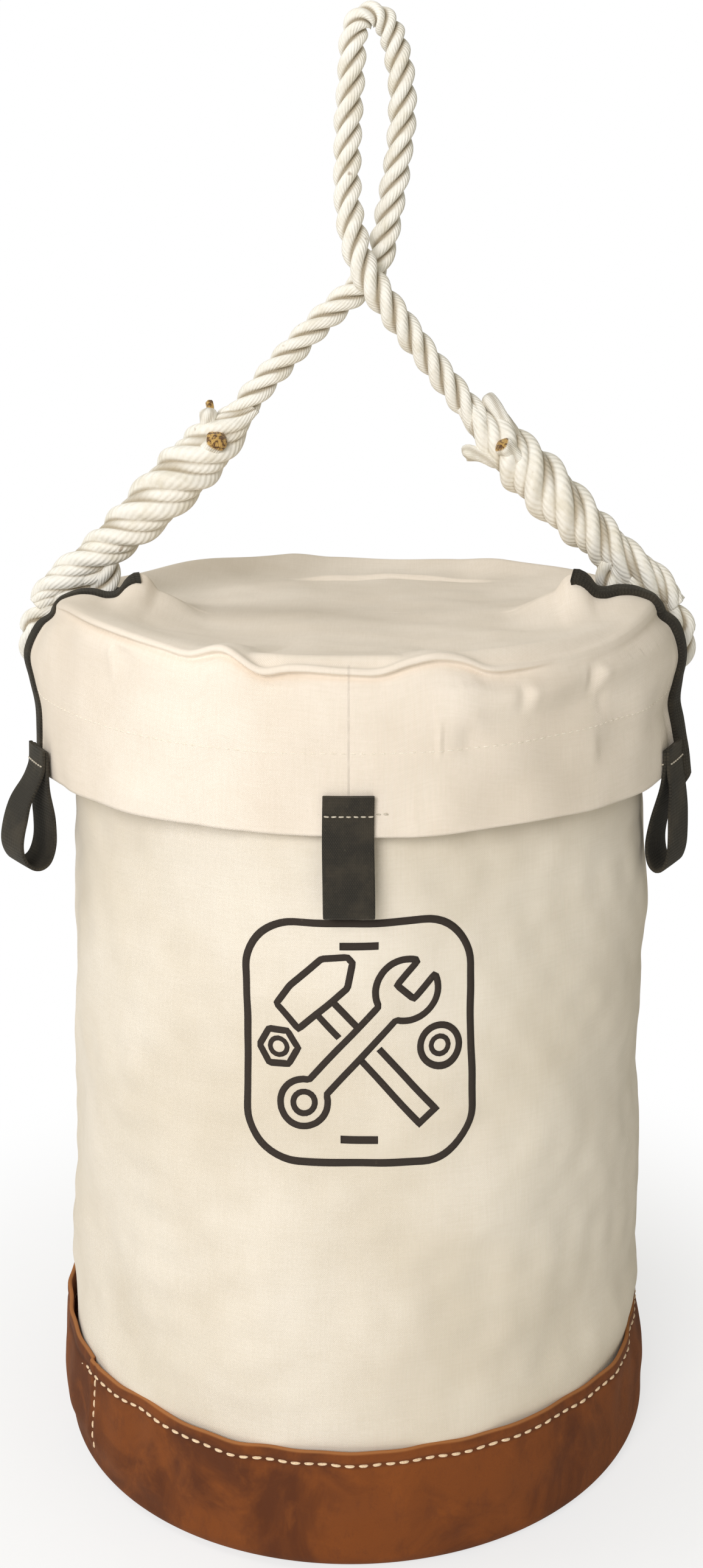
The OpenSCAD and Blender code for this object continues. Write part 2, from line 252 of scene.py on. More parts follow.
def past(angle, low, high):
    """0 up to low degrees and 1 from high degrees on, for angles in radians."""
    return smooth(angle, math.radians(low), math.radians(high))


# ---------- mesh helpers ----------


def new_piece(name, points, faces, material, uv=None, uv_name="Cloth", marks=None):
    """Mesh object from millimetre points.

    uv has one pair per face corner. Corners past its end get zeros. marks are values per point."""
    mesh = bpy.data.meshes.new(name)
    mesh.from_pydata((np.asarray(points, float).reshape(-1, 3) * MM).tolist(), [], faces)
    if uv is not None:
        layer = mesh.uv_layers.new(name=uv_name)
        pairs = np.zeros((len(mesh.loops), 2), np.float32)
        uv = np.asarray(uv).reshape(-1, 2)
        pairs[: len(uv)] = uv
        layer.data.foreach_set("uv", pairs.ravel())
    for mark, values in (marks or {}).items():
        attribute = mesh.attributes.new(mark, "FLOAT", "POINT")
        attribute.data.foreach_set("value", np.asarray(values, np.float32).ravel())
    mesh.polygons.foreach_set("use_smooth", np.ones(len(mesh.polygons), bool))
    mesh.update()
    piece = bpy.data.objects.new(name, mesh)
    bpy.context.scene.collection.objects.link(piece)
    mesh.materials.append(material)
    return piece


def grid_faces(rows, columns, close_rows=False, close_columns=False, first=0):
    """Quads of a grid, and the (row, column) of each corner for its UV. Corners past a closed side wrap."""
    i, j = np.meshgrid(
        np.arange(rows if close_rows else rows - 1),
        np.arange(columns if close_columns else columns - 1),
        indexing="ij",
    )
    i, j = i.ravel(), j.ravel()
    corners = [(i, j), (i, j + 1), (i + 1, j + 1), (i + 1, j)]
    faces = np.stack([(a % rows) * columns + b % columns + first for a, b in corners], 1)
    places = np.stack([np.stack([a, b], 1) for a, b in corners], 1)
    return faces, places


def end_caps(rows, count, first=0):
    """The two faces that close a tube of rows of count points."""
    last = first + (rows - 1) * count
    return [list(range(first, first + count)), list(range(last, last + count))[::-1]]


def fit(piece, body, slot, *nodes):
    """Hangs a finished piece on one body, in place of the CAD nodes."""
    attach(piece, body)
    finish_piece(piece, slot, *nodes)


def finish_piece(piece, slot, *nodes):
    """Hides the CAD nodes that a piece stands for."""
    if nodes:
        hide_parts(*nodes)


def revolve(name, section, material, columns, shape, start=0.0, marks=None):
    """Solid ring from a closed section of (radius, height) points.

    shape(phi, r, z) gives the moved radius and height. marks are functions of the section's height."""
    section = np.array(section, float)
    phi = start + np.arange(columns) / columns * TURN
    r, z = section[:, :1], section[:, 1:]
    r, z = shape(phi[None, :], r + 0 * phi, z + 0 * phi)
    points = on_wall(phi[None, :], r, z)
    faces, places = grid_faces(len(section), columns, True, True)
    along = arc_length(np.concatenate([section, section[:1]]))
    uv = np.stack([places[..., 1] / columns * TURN * bucket_r, along[places[..., 0]]], -1) * MM
    values = {mark: np.repeat(at(section[:, 1]), columns) for mark, at in (marks or {}).items()}
    return new_piece(name, points, faces.tolist(), material, uv, marks=values)


def apply_modifiers(piece):
    """Turns what the modifiers make into the piece's own mesh."""
    bpy.context.view_layer.update()
    graph = bpy.context.evaluated_depsgraph_get()
    done = bpy.data.meshes.new_from_object(piece.evaluated_get(graph))
    done.name = piece.name
    piece.modifiers.clear()
    piece.data = done
    done.polygons.foreach_set("use_smooth", np.ones(len(done.polygons), bool))


def solidify(piece, thickness):
    """Gives a sheet its thickness, inwards from its outer face."""
    shell = piece.modifiers.new("Thickness", "SOLIDIFY")
    shell.thickness = thickness * MM
    shell.offset = -1.0
    apply_modifiers(piece)


def rope_tube(name, path, outline, twist, groove_shade, melt=0.0):
    """Closed tube of rope along a path. outline is (rings, sides) radii; twist turns each ring."""
    _, normals, sides = path_frames(path)
    rings, count = outline.shape
    angle = np.arange(count) / count * TURN + twist[:, None]
    across = np.cos(angle)[..., None] * normals[:, None] + np.sin(angle)[..., None] * sides[:, None]
    points = path[:, None] + outline[..., None] * across
    faces, places = grid_faces(rings, count, False, True)
    along = arc_length(path)
    turned = places[..., 1] / count + twist[places[..., 0]] / TURN
    uv = np.stack([turned, along[places[..., 0]] * MM], -1)
    faces = faces[:, ::-1].tolist() + end_caps(rings, count)
    # The first mark is the share of painted shade in the grooves, the second the melted brown of cut ends.
    marks = {"groove_shade": groove_shade + 0 * outline, "melt": melt + 0 * outline}
    return new_piece(name, points, faces, ROPE, uv[:, ::-1], "Strand", marks)


def join(name, pieces):
    """One object from several that share a material."""
    bpy.ops.object.select_all(action="DESELECT")
    for piece in pieces:
        piece.select_set(True)
    bpy.context.view_layer.objects.active = pieces[0]
    bpy.ops.object.join()
    pieces[0].name = name
    pieces[0].data.name = name
    return pieces[0]


# ---------- material helpers ----------


def srgb(red, green, blue):
    """Colour given as 0 to 255 screen values, as the linear values that shaders use."""
    return tuple(
        c / 12.92 / 255 if c <= 10 else ((c / 255 + 0.055) / 1.055) ** 2.4
        for c in (red, green, blue)
    ) + (1.0,)


class Look:
    """A procedural material that is put together node by node."""

    def __init__(self, name):
        self.material = bpy.data.materials.new(name)
        self.material.use_nodes = True
        self.tree = self.material.node_tree
        self.surface = self.tree.nodes["Principled BSDF"]
        self.bumps = None

    def node(self, kind, settings=None, **inputs):
        made = self.tree.nodes.new(kind)
        for key, value in (settings or {}).items():
            setattr(made, key, value)
        for key, value in inputs.items():
            self.set(made.inputs[key.replace("_", " ")], value)
        return made

    def set(self, socket, value):
        if isinstance(value, bpy.types.NodeSocket):
            self.tree.links.new(value, socket)
        else:
            socket.default_value = value

    def maths(self, operation, a, b=0.0):
        made = self.tree.nodes.new("ShaderNodeMath")
        made.operation = operation
        self.set(made.inputs[0], a)
        self.set(made.inputs[1], b)
        return made.outputs[0]

    def place(self):
        return self.node("ShaderNodeTexCoord").outputs["Object"]

    def cloth(self, uv_name="Cloth"):
        return self.node("ShaderNodeUVMap", {"uv_map": uv_name}).outputs["UV"]

    def stretched(self, vector, scale):
        return self.node("ShaderNodeMapping", Vector=vector, Scale=scale).outputs["Vector"]

    def split(self, vector):
        made = self.node("ShaderNodeSeparateXYZ", Vector=vector)
        return made.outputs["X"], made.outputs["Y"], made.outputs["Z"]

    def mark(self, name):
        return self.node("ShaderNodeAttribute", {"attribute_name": name}).outputs["Fac"]

    def noise(self, vector, scale, detail=3.0, roughness=0.55, distortion=0.0):
        return self.node(
            "ShaderNodeTexNoise",
            Vector=vector,
            Scale=scale,
            Detail=detail,
            Roughness=roughness,
            Distortion=distortion,
        ).outputs["Fac"]

    def ramp(self, value, low, high, bottom=0.0, top=1.0):
        """Value mapped from low..high to bottom..top, held at the ends."""
        return self.node(
            "ShaderNodeMapRange",
            {"interpolation_type": "SMOOTHSTEP"},
            Value=value,
            From_Min=low,
            From_Max=high,
            To_Min=bottom,
            To_Max=top,
        ).outputs["Result"]

    def mix(self, share, a, b):
        made = self.tree.nodes.new("ShaderNodeMix")
        made.data_type = "RGBA"
        self.set(made.inputs[0], share)
        self.set(made.inputs[6], a)
        self.set(made.inputs[7], b)
        return made.outputs[2]

    def bump(self, height, distance, strength=1.0):
        """Adds relief, distance in metres."""
        made = self.node("ShaderNodeBump", Height=height, Distance=distance, Strength=strength)
        if self.bumps is not None:
            self.tree.links.new(self.bumps, made.inputs["Normal"])
        self.bumps = made.outputs["Normal"]

    def finish(self, colour, roughness, metallic=0.0, sheen=0.0, sheen_colour=None):
        self.set(self.surface.inputs["Base Color"], colour)
        self.set(self.surface.inputs["Roughness"], roughness)
        self.set(self.surface.inputs["Metallic"], metallic)
        self.set(self.surface.inputs["Sheen Weight"], sheen)
        if sheen_colour is not None:
            self.set(self.surface.inputs["Sheen Tint"], sheen_colour)
        if self.bumps is not None:
            self.tree.links.new(self.bumps, self.surface.inputs["Normal"])
        return self.material

    def weave(self, vector, pitch):
        """Plain weave height, about 0 to 1, from a cloth position in metres."""
        u, v, _ = self.split(vector)
        crossed = self.maths("MULTIPLY", self.wave(u, TURN / pitch), self.wave(v, TURN / pitch))
        return self.maths("MULTIPLY_ADD", crossed, 0.5)

    def wave(self, value, rate):
        return self.maths("SINE", self.maths("MULTIPLY", value, rate))


# Pitches of the weaves and ribs in metres, and how many yarns show round the rope.
CANVAS_PITCH = 0.0009
LINING_PITCH = 0.0007
WEBBING_RIB = 0.0017
WEBBING_YARN = 0.0011
ROPE_YARNS = 30


def canvas_look(name, light, shade, pitch):
    """Cotton duck: woven threads with slubs, soft mottling and small handling marks."""
    look = Look(name)
    cloth = look.cloth()
    place = look.place()
    clouds = look.noise(place, 9.0, 4.0)
    stains = look.noise(place, 34.0, 5.0, 0.6)
    slubs = look.noise(look.stretched(cloth, (60.0, 900.0, 1.0)), 1.0, 3.0, 0.7)
    slubs_up = look.noise(look.stretched(cloth, (900.0, 50.0, 1.0)), 1.0, 3.0, 0.7)
    threads = look.maths("ADD", look.maths("MULTIPLY", slubs, 0.5), look.maths("MULTIPLY", slubs_up, 0.5))
    weave = look.weave(cloth, pitch)
    colour = look.mix(look.ramp(clouds, 0.35, 0.7), light, shade)
    colour = look.mix(look.ramp(stains, 0.56, 0.8, 0.0, 0.35), colour, shade)
    colour = look.mix(look.ramp(threads, 0.4, 0.62, 0.0, 0.11), colour, srgb(205, 190, 160))
    look.bump(look.noise(place, 55.0, 3.0, 0.5, 0.4), 0.0012, 0.35)
    look.bump(threads, 0.0005, 0.2)
    look.bump(weave, 0.00022, 0.5)
    return look.finish(colour, 0.92, sheen=0.25, sheen_colour=srgb(255, 250, 240))


def suede_look():
    """Brown suede: cloudy nap with pressed darker patches.

    The mark "rim" is the raw cut edge; the other mark is a painted shade along the sunk line of the
    stitches."""
    look = Look("suede")
    place = look.place()
    clouds = look.noise(place, 17.0, 5.0, 0.6, 0.8)
    patches = look.noise(place, 48.0, 5.0, 0.62, 0.6)
    brushed = look.noise(look.stretched(place, (150.0, 150.0, 70.0)), 1.0, 4.0, 0.7)
    grain = look.noise(place, 1500.0, 2.0, 0.6)
    colour = look.mix(look.ramp(clouds, 0.38, 0.62), srgb(90, 43, 9), srgb(125, 65, 17))
    colour = look.mix(look.ramp(patches, 0.5, 0.7, 0.0, 0.5), colour, srgb(139, 74, 21))
    colour = look.mix(look.ramp(brushed, 0.5, 0.72, 0.0, 0.35), colour, srgb(98, 50, 20))
    colour = look.mix(look.ramp(grain, 0.55, 0.8, 0.0, 0.3), colour, srgb(84, 42, 16))
    colour = look.mix(look.maths("MULTIPLY", look.mark("rim"), 0.6), colour, srgb(190, 128, 74))
    # Painted shade along the sunk line of the boot's top stitches.
    colour = look.mix(look.maths("MULTIPLY", look.mark("seam_shade"), 0.5), colour, srgb(64, 31, 12))
    look.bump(patches, 0.0015, 0.25)
    look.bump(brushed, 0.0006, 0.25)
    look.bump(grain, 0.00025, 0.5)
    return look.finish(colour, 0.95, sheen=0.08, sheen_colour=srgb(220, 150, 90))


def webbing_look():
    """Dark ribbed webbing: ribs across, fine yarns along, painted highlights where ribs and yarns cross, and
    pale fuzz.
    """
    look = Look("webbing")
    strap = look.cloth()
    along, across, _ = look.split(strap)
    ribs = look.wave(along, TURN / WEBBING_RIB)
    yarns = look.wave(across, TURN / WEBBING_YARN)
    shift = look.maths("MULTIPLY", ribs, yarns)
    fuzz = look.noise(look.place(), 900.0, 3.0, 0.6)
    wear = look.noise(look.place(), 60.0, 4.0, 0.6)
    colour = look.mix(look.ramp(wear, 0.4, 0.7), srgb(30, 27, 20), srgb(54, 48, 37))
    # Painted highlight on the crests of the ribs and yarns.
    colour = look.mix(look.ramp(shift, -0.2, 1.0, 0.0, 0.4), colour, srgb(70, 63, 49))
    colour = look.mix(look.ramp(fuzz, 0.6, 0.8, 0.0, 0.3), colour, srgb(106, 97, 80))
    look.bump(look.maths("ADD", ribs, look.maths("MULTIPLY", yarns, 0.5)), 0.00022, 0.55)
    look.bump(fuzz, 0.0002, 0.4)
    return look.finish(colour, 0.85, sheen=0.1, sheen_colour=srgb(180, 175, 160))


def rope_look():
    """White laid rope: yarns lie along it, painted shade darkens the troughs between yarns and the grooves
    between strands, cut ends are melted brown.
    """
    look = Look("rope")
    strand = look.cloth("Strand")
    turned, _, _ = look.split(strand)
    place = look.place()
    groove_shade = look.mark("groove_shade")
    melt = look.mark("melt")
    yarns = look.wave(turned, TURN * ROPE_YARNS)
    uneven = look.noise(place, 420.0, 3.0, 0.6)
    dirt = look.noise(place, 75.0, 4.0, 0.62)
    colour = look.mix(look.ramp(dirt, 0.42, 0.72), srgb(253, 250, 241), srgb(238, 232, 216))
    # Faint painted shade in the troughs between the yarns.
    colour = look.mix(look.ramp(yarns, -1.0, 1.0, 0.07, 0.0), colour, srgb(190, 180, 155))
    # Painted shade in the grooves between the strands.
    colour = look.mix(look.ramp(groove_shade, 0.05, 0.75, 0.0, 0.8), colour, srgb(158, 140, 106))
    spots = look.noise(place, 130.0, 2.0, 0.5)
    colour = look.mix(look.ramp(spots, 0.7, 0.78, 0.0, 0.6), colour, srgb(140, 112, 74))
    blotches = look.noise(place, 520.0, 3.0, 0.7)
    burnt = look.mix(look.ramp(blotches, 0.42, 0.6), srgb(206, 166, 92), srgb(92, 58, 26))
    colour = look.mix(look.ramp(melt, 0.2, 0.9), colour, burnt)
    look.bump(look.maths("ADD", yarns, look.maths("MULTIPLY", uneven, 1.4)), 0.0003, 0.45)
    return look.finish(colour, 0.72, sheen=0.2, sheen_colour=srgb(255, 252, 245))


def thread_look(name, colour_light, colour_dark):
    """Waxed thread with a fine twist."""
    look = Look(name)
    place = look.place()
    twist = look.noise(look.stretched(place, (1400.0, 1400.0, 2600.0)), 1.0, 2.0)
    colour = look.mix(look.ramp(twist, 0.35, 0.7), colour_light, colour_dark)
    look.bump(twist, 0.0002, 0.5)
    return look.finish(colour, 0.6, sheen=0.15)


def ink_look():
    """Black-brown print soaked into the weave, worn thin in places."""
    look = Look("ink")
    cloth = look.cloth()
    worn = look.noise(look.place(), 420.0, 4.0, 0.7)
    weave = look.weave(cloth, CANVAS_PITCH)
    colour = look.mix(look.ramp(worn, 0.6, 0.85, 0.0, 0.5), srgb(52, 43, 36), srgb(120, 105, 88))
    look.bump(weave, 0.0002, 0.5)
    return look.finish(colour, 0.9)


def metal_look(name, bright, dull, rough):
    """Drawn or pressed metal with fine scratches and dull patches."""
    look = Look(name)
    place = look.place()
    scratches = look.noise(look.stretched(place, (300.0, 300.0, 2400.0)), 1.0, 4.0, 0.7)
    patches = look.noise(place, 120.0, 4.0, 0.6)
    colour = look.mix(look.ramp(patches, 0.4, 0.7), bright, dull)
    look.bump(scratches, 0.00012, 0.5)
    return look.finish(colour, look.ramp(patches, 0.3, 0.7, rough, rough + 0.2), metallic=1.0)


def board_look():
    """Dark pressed board with a fine grained face and scuffs."""
    look = Look("board")
    place = look.place()
    fibres = look.noise(look.stretched(place, (500.0, 900.0, 500.0)), 1.0, 5.0, 0.7)
    scuffs = look.noise(place, 40.0, 5.0, 0.65, 1.2)
    colour = look.mix(look.ramp(fibres, 0.4, 0.7), srgb(58, 54, 50), srgb(86, 80, 72))
    colour = look.mix(look.ramp(scuffs, 0.6, 0.75, 0.0, 0.5), colour, srgb(120, 112, 100))
    look.bump(fibres, 0.0004, 0.5)
    return look.finish(colour, 0.8)


CANVAS = canvas_look("canvas", srgb(242, 233, 218), srgb(229, 218, 199), CANVAS_PITCH)
LID_CANVAS = canvas_look("lid_canvas", srgb(248, 237, 223), srgb(236, 223, 206), CANVAS_PITCH)
LINING = canvas_look("lining", srgb(226, 216, 192), srgb(205, 192, 162), LINING_PITCH)
SUEDE = suede_look()
WEBBING = webbing_look()
ROPE = rope_look()
PALE_THREAD = thread_look("pale_thread", srgb(250, 226, 190), srgb(226, 190, 150))
CANVAS_THREAD = thread_look("canvas_thread", srgb(250, 242, 228), srgb(232, 221, 202))
TACK_THREAD = thread_look("tack_thread", srgb(214, 206, 190), srgb(176, 164, 142))
INK = ink_look()
STEEL = metal_look("steel", srgb(200, 200, 204), srgb(150, 150, 156), 0.3)
BRASS = metal_look("brass", srgb(206, 178, 110), srgb(150, 124, 70), 0.32)
BOARD = board_look()


# ---------- bucket wall, lining and foot ----------


# How far the wall bulges out at the two sides, as (height, distance).
RIGHT_SIDE = [
    (60, -2.2), (88, -1.2), (108, 0), (129, 0.8), (160, 1.0), (189, -0.4), (209, 0.8), (229, 2.5),
    (249, 2.7), (269, 5.0), (300, 4.2), (340, 2.0),
]
LEFT_SIDE = [
    (60, 2.0), (88, 1.8), (108, 0.6), (129, -0.7), (149, 0.8), (170, 0), (189, -1.0), (209, -1.5),
    (229, -1.6), (249, 0), (340, 0),
]


def pulled_in(phi, z):
    """How far the boot squeezes the wall in at the right."""
    near_edge = smooth(z, boot_h - 28, boot_h - 4) * (1 - smooth(z, boot_h + 2, boot_h + 20))
    return 4.0 * hump(phi, math.radians(86), 0.32) * near_edge


def wall_radius(phi, z):
    """Outer surface of the canvas wall: soft dents, a roll over the boot's top edge at the right."""
    free = smooth(z, boot_h - 1, boot_h + 26) * (1 - smooth(z, rim_stitch_z - 30, rim_stitch_z - 6))
    right = hump(phi, math.radians(84), 0.55)
    left = hump(phi, math.radians(-84), 0.55)
    dents = 1.6 * ripple(phi, z, 150.0, 11, 1.3) + 0.6 * ripple(phi, z, 62.0, 12, 0.9)
    dents = dents * (1 - 0.75 * np.maximum(left, right)) + 0.2 * ripple(phi, z, 24.0, 13, 0.8)
    sides = right * knots(RIGHT_SIDE, z) + left * knots(LEFT_SIDE, z)
    over_boot = 3.4 * hump(phi, math.radians(68), 0.42) * hump(z, boot_h + 14, 11)
    return bucket_r + free * (dents + sides) + over_boot - pulled_in(phi, z)


def wall_shape(phi, r, z):
    """Moves the outer face of the wall and leaves the inner face and the foot as they are."""
    moved = (wall_radius(phi, z) - bucket_r) * smooth(z, 22, 40)
    return r + moved * np.where(r > bucket_r - 3, 1, 0), z


# Discs keep a pinhole of this radius in their middle, so that they stay plain rings.
PIN_R = 0.6


def arc_points(centre_r, centre_z, radius, start, end, count):
    """Points of an arc in a section, angles in degrees from outwards, anticlockwise."""
    angles = np.radians(np.linspace(start, end, count))
    return [(centre_r + radius * math.cos(a), centre_z + radius * math.sin(a)) for a in angles]


def upright(radius, start, end, count):
    """Points of a straight upright part of a section."""
    return [(radius, z) for z in np.linspace(start, end, count)]


def punch_holes(piece):
    """Opens the cloth behind the two grommets, where the rope passes."""
    low, high = box_mm("right_grommet")
    centre_y, centre_z = (low[1] + high[1]) / 2, (low[2] + high[2]) / 2
    flange = 2.2
    hole_r = (high[2] - low[2]) / 2 - flange
    sheet = bmesh.new()
    sheet.from_mesh(piece.data)
    opened = []
    for face in sheet.faces:
        x, y, z = face.calc_center_median() / MM
        if abs(x) > bucket_r / 2 and math.hypot(y - centre_y, z - centre_z) < hole_r:
            opened.append(face)
    bmesh.ops.delete(sheet, geom=opened, context="FACES")
    sheet.to_mesh(piece.data)
    sheet.free()


def make_canvas_body():
    """Wall, rolled rim hem and floor as one closed sheet."""
    corner = BASE_ROUND - LEATHER_T - GAP
    corner_r = boot_r - BASE_ROUND
    roll = hoop_wire_r + GAP + 1.3
    inner_r = bucket_r - CANVAS_T
    flap_z = rim_stitch_z - 9
    section = [(PIN_R, BASE_ROUND - corner)]
    section += arc_points(corner_r, BASE_ROUND, corner, -90, 0, 8)
    section += upright(bucket_r, BASE_ROUND + 3, hoop_z - roll - 1, 150)
    section += arc_points(hoop_r, hoop_z, roll, -50, 230, 22)
    section += [(inner_r - 0.1, rim_stitch_z), (inner_r - 0.1, flap_z)]
    section += upright(inner_r, flap_z - 4, BASE_ROUND + 3, 60)
    section += arc_points(corner_r, BASE_ROUND, corner - CANVAS_T, 0, -90, 6)
    section += [(PIN_R, BASE_ROUND - corner + CANVAS_T)]
    body = revolve("canvas_body", section, CANVAS, 480, wall_shape)
    punch_holes(body)
    fit(body, "bucket", "canvas", "wall_canvas", "floor_canvas")


def make_lining():
    """Loose cotton cup inside the wall, slack between the base board and the rim."""

    def shape(phi, r, z):
        slack = 0.9 * ripple(phi, z, 90.0, 21, 2.0) + 0.5 * ripple(phi, z, 36.0, 22, 2.5) - 3.0
        held = smooth(z, board_top + 4, board_top + 50) * (1 - smooth(z, 395, 416))
        dent = np.minimum(wall_radius(phi, z) - bucket_r, 0)
        return r + np.where(r > lining_r - 4, np.minimum(slack, -0.2) * held + dent, 0), z

    top = hoop_z - hoop_wire_r - 1.7
    corner_r = boot_r - BASE_ROUND
    corner = lining_r - corner_r
    section = [(PIN_R, BASE_ROUND - corner)]
    section += arc_points(corner_r, BASE_ROUND, corner, -90, 0, 7)
    section += upright(lining_r, BASE_ROUND + 3, top, 110)
    section += upright(lining_r - LINING_T, top, BASE_ROUND + 3, 110)
    section += arc_points(corner_r, BASE_ROUND, corner - LINING_T, 0, -90, 7)
    section += [(PIN_R, BASE_ROUND - corner + LINING_T)]
    lining = revolve("lining_cup", section, LINING, 420, shape)
    punch_holes(lining)
    fit(lining, "bucket", "lining", "wall_lining")


# Distance of the upright stitches from the boot's lapped seam.
SEAM_INSET = 1.4


def boot_top(phi):
    """Hand-cut top edge of the boot.

    The dip at the left side only reaches angles below zero, as the stitches use. The boot counts on past
    half a turn there, so its own edge stays level."""
    dip = 13.0 * past(-phi, 56, 84) * (1 - past(-phi, 100, 150))
    uneven = 0.5 * ripple(phi, 0 * phi, 90.0, 31) + 0.25 * ripple(phi, 0 * phi, 30.0, 32)
    return boot_h + uneven - dip


def boot_lift(phi, z):
    """How far the cut of the top edge lowers or raises the leather at a height."""
    return (boot_top(phi) - boot_h) * smooth(z, 18, boot_h - 4)


def boot_radius(phi, z):
    """Outer surface of the boot with the lapped seam at its left front and the sunk line of stitching."""
    away = (phi - BOOT_SEAM + math.pi) % TURN - math.pi
    lap = 1.5 * past(away, -1.9, -1.5) * (1 - smooth(away, 0.05, 0.30))
    sunk = 0.45 * hump(z, boot_stitch_z, 1.6)
    upright_sunk = 0.45 * hump(away * boot_r, SEAM_INSET, 1.5)
    lumps = 0.8 * ripple(phi, z, 75.0, 33) + 0.3 * ripple(phi, z, 26.0, 34)
    left = -((phi + math.pi) % TURN - math.pi)
    flare = 4.6 * past(left, 58, 84) * (1 - past(left, 98, 130)) * smooth(z, 8, 30)
    edge = smooth(z, 6, 20)
    lip = 0.3 * smooth(z, boot_h - 12, boot_h)
    return boot_r + edge * (lap + lumps - sunk - upright_sunk) + lip + flare - pulled_in(phi, z)


def make_boot():
    """Suede band round the foot, turned under the base as far as the sole."""

    def shape(phi, r, z):
        moved = boot_radius(phi, z) - boot_r
        return r + np.where(r > boot_r - LEATHER_T - 0.1, moved, 0), z + boot_lift(phi, z)

    inner_corner = boot_r - BASE_ROUND
    half = LEATHER_T / 2
    corner = BASE_ROUND / 2
    section = [(sole_r + 0.4, 0.0)]
    section += arc_points(boot_r - corner, corner, corner, -90, 0, 12)
    section += upright(boot_r, corner + 1, boot_h - half, 56)
    section += arc_points(boot_r - half, boot_h - half, half, 20, 160, 7)
    section += upright(boot_r - LEATHER_T, boot_h - half, BASE_ROUND + 1, 12)
    section += arc_points(inner_corner, BASE_ROUND, BASE_ROUND - LEATHER_T, 0, -90, 8)
    section += [(sole_r + 0.4, LEATHER_T)]
    marks = {
        "rim": lambda z: smooth(z, boot_h - 1.0, boot_h - 0.3),
        # The second mark is a painted shade along the sunk stitch line.
        "seam_shade": lambda z: 1 - smooth(np.abs(z - boot_stitch_z), 0.5, 2.0),
    }
    boot = revolve("suede_boot", section, SUEDE, 1100, shape, start=BOOT_SEAM, marks=marks)
    fit(boot, "bucket", "leather", "leather_boot")


def make_sole():
    """Leather disc under the base, slightly dished by wear."""

    def shape(phi, r, z):
        worn = 0.35 * ripple(phi, r, 60.0, 41) * smooth(r, 5, 60)
        return r, np.where(z < 1, np.maximum(z + worn * 0.4 + 0.2, 0), z)

    rows = [(r, 0.0) for r in np.linspace(PIN_R, sole_r - 1.0, 40)]
    rows += arc_points(sole_r - 1.0, 1.0, 1.0, -60, 60, 5)
    rows += [(r, LEATHER_T - 0.3) for r in np.linspace(sole_r - 1.2, PIN_R, 20)]
    sole = revolve("leather_disc", rows, SUEDE, 240, shape)
    fit(sole, "bucket", "leather", "leather_sole")


# ---------- stitches ----------


def stitch_row(name, centres, along, facing, length, radius, material, seed=5):
    """One arched stitch at each centre, lying along the seam, all in one piece."""
    rng = np.random.default_rng(seed)
    rings, sides = 9, 8
    t = np.linspace(-1, 1, rings)
    swell = np.sqrt(np.maximum(1 - np.abs(t) ** 3.2, 0.02))
    arch = 0.5 * radius * (1 - t**2)
    angle = np.arange(sides) / sides * TURN
    along, facing = unit(along), unit(facing)
    across = np.cross(facing, along)
    points, faces = [], []
    for i, centre in enumerate(centres):
        lean = rng.normal(0, 0.05)
        direction = along[i] * math.cos(lean) + across[i] * math.sin(lean)
        aside = np.cross(facing[i], direction)
        half = length / 2 * rng.uniform(0.92, 1.05)
        for k in range(rings):
            middle = centre + direction * t[k] * half + facing[i] * arch[k]
            for a in angle:
                points.append(middle + radius * swell[k] * (math.cos(a) * aside + math.sin(a) * facing[i]))
        first = i * rings * sides
        quads, _ = grid_faces(rings, sides, False, True, first)
        faces += quads.tolist() + [cap[::-1] for cap in end_caps(rings, sides, first)]
    return new_piece(name, np.array(points), faces, material)


def level_ring(phi, surface, z, radius, lift=0.0):
    """Stitch centres on a surface at angles and heights, sunk a little, and the way they face."""
    return on_wall(phi, surface(phi, z) - radius * 0.35, z + lift), outwards(phi)


def ring_of_stitches(name, surface, z, pitch, length, radius, material, lift=None):
    """Stitches all round a surface. lift(phi, z) raises them."""
    count = round(TURN * surface(np.zeros(1), z)[0] / pitch)
    phi = (np.arange(count) + 0.5) / count * TURN - math.pi
    centres, facing = level_ring(phi, surface, z, radius, lift(phi, z) if lift else 0.0)
    along = np.roll(centres, -1, 0) - np.roll(centres, 1, 0)
    return stitch_row(name, centres, along, facing, length, radius, material)


def column_of_stitches(name, phi, surface, low, high, pitch, length, radius, material):
    """Stitches up a surface."""
    z = np.arange(low, high, pitch) + pitch / 2
    centres, facing = level_ring(np.full(len(z), phi), surface, z, radius)
    along = np.tile([0.0, 0.0, 1.0], (len(z), 1))
    return stitch_row(name, centres, along, facing, length, radius, material)


def make_bucket_stitches():
    """Stitches of the boot, the rim hem and the upright seam at the back of the wall."""
    boot = ring_of_stitches(
        "boot_top_stitches", boot_radius, boot_stitch_z, 6.5, 4.9, 0.72, PALE_THREAD, boot_lift
    )
    seam_phi = BOOT_SEAM + SEAM_INSET / boot_r
    seam = column_of_stitches(
        "boot_seam_stitches", seam_phi, boot_radius, 13, boot_stitch_z - 2, 5.2, 3.9, 0.6, PALE_THREAD
    )
    rim = ring_of_stitches("rim_stitches", wall_radius, rim_stitch_z, 4.5, 3.2, 0.5, CANVAS_THREAD)
    low, high = boot_h + 4, hem_z - 4
    columns = [
        column_of_stitches("wall_seam_stitches", phi, wall_radius, low, high, 4.5, 3.2, 0.5, CANVAS_THREAD)
        for phi in (math.pi - 0.028, math.pi + 0.028)
    ]
    wall = join("wall_seam_stitches", columns)
    fit(boot, "bucket", "thread", "boot_top_stitching")
    fit(seam, "bucket", "thread", "boot_seam_stitching")
    fit(rim, "bucket", "thread", "rim_hem_stitching")
    fit(wall, "bucket", "thread", "wall_seam_stitching")


# ---------- lid ----------

# The lid is one grid. Its columns run round the lid: the front part, the fill inside the right slot, the
# rear part and the fill inside the left slot.
FRONT_COLUMNS = 420
FILL_COLUMNS = 16
REAR_COLUMNS = 300
FIRST_REAR = FRONT_COLUMNS + FILL_COLUMNS
LAST_REAR = FIRST_REAR + REAR_COLUMNS - 1

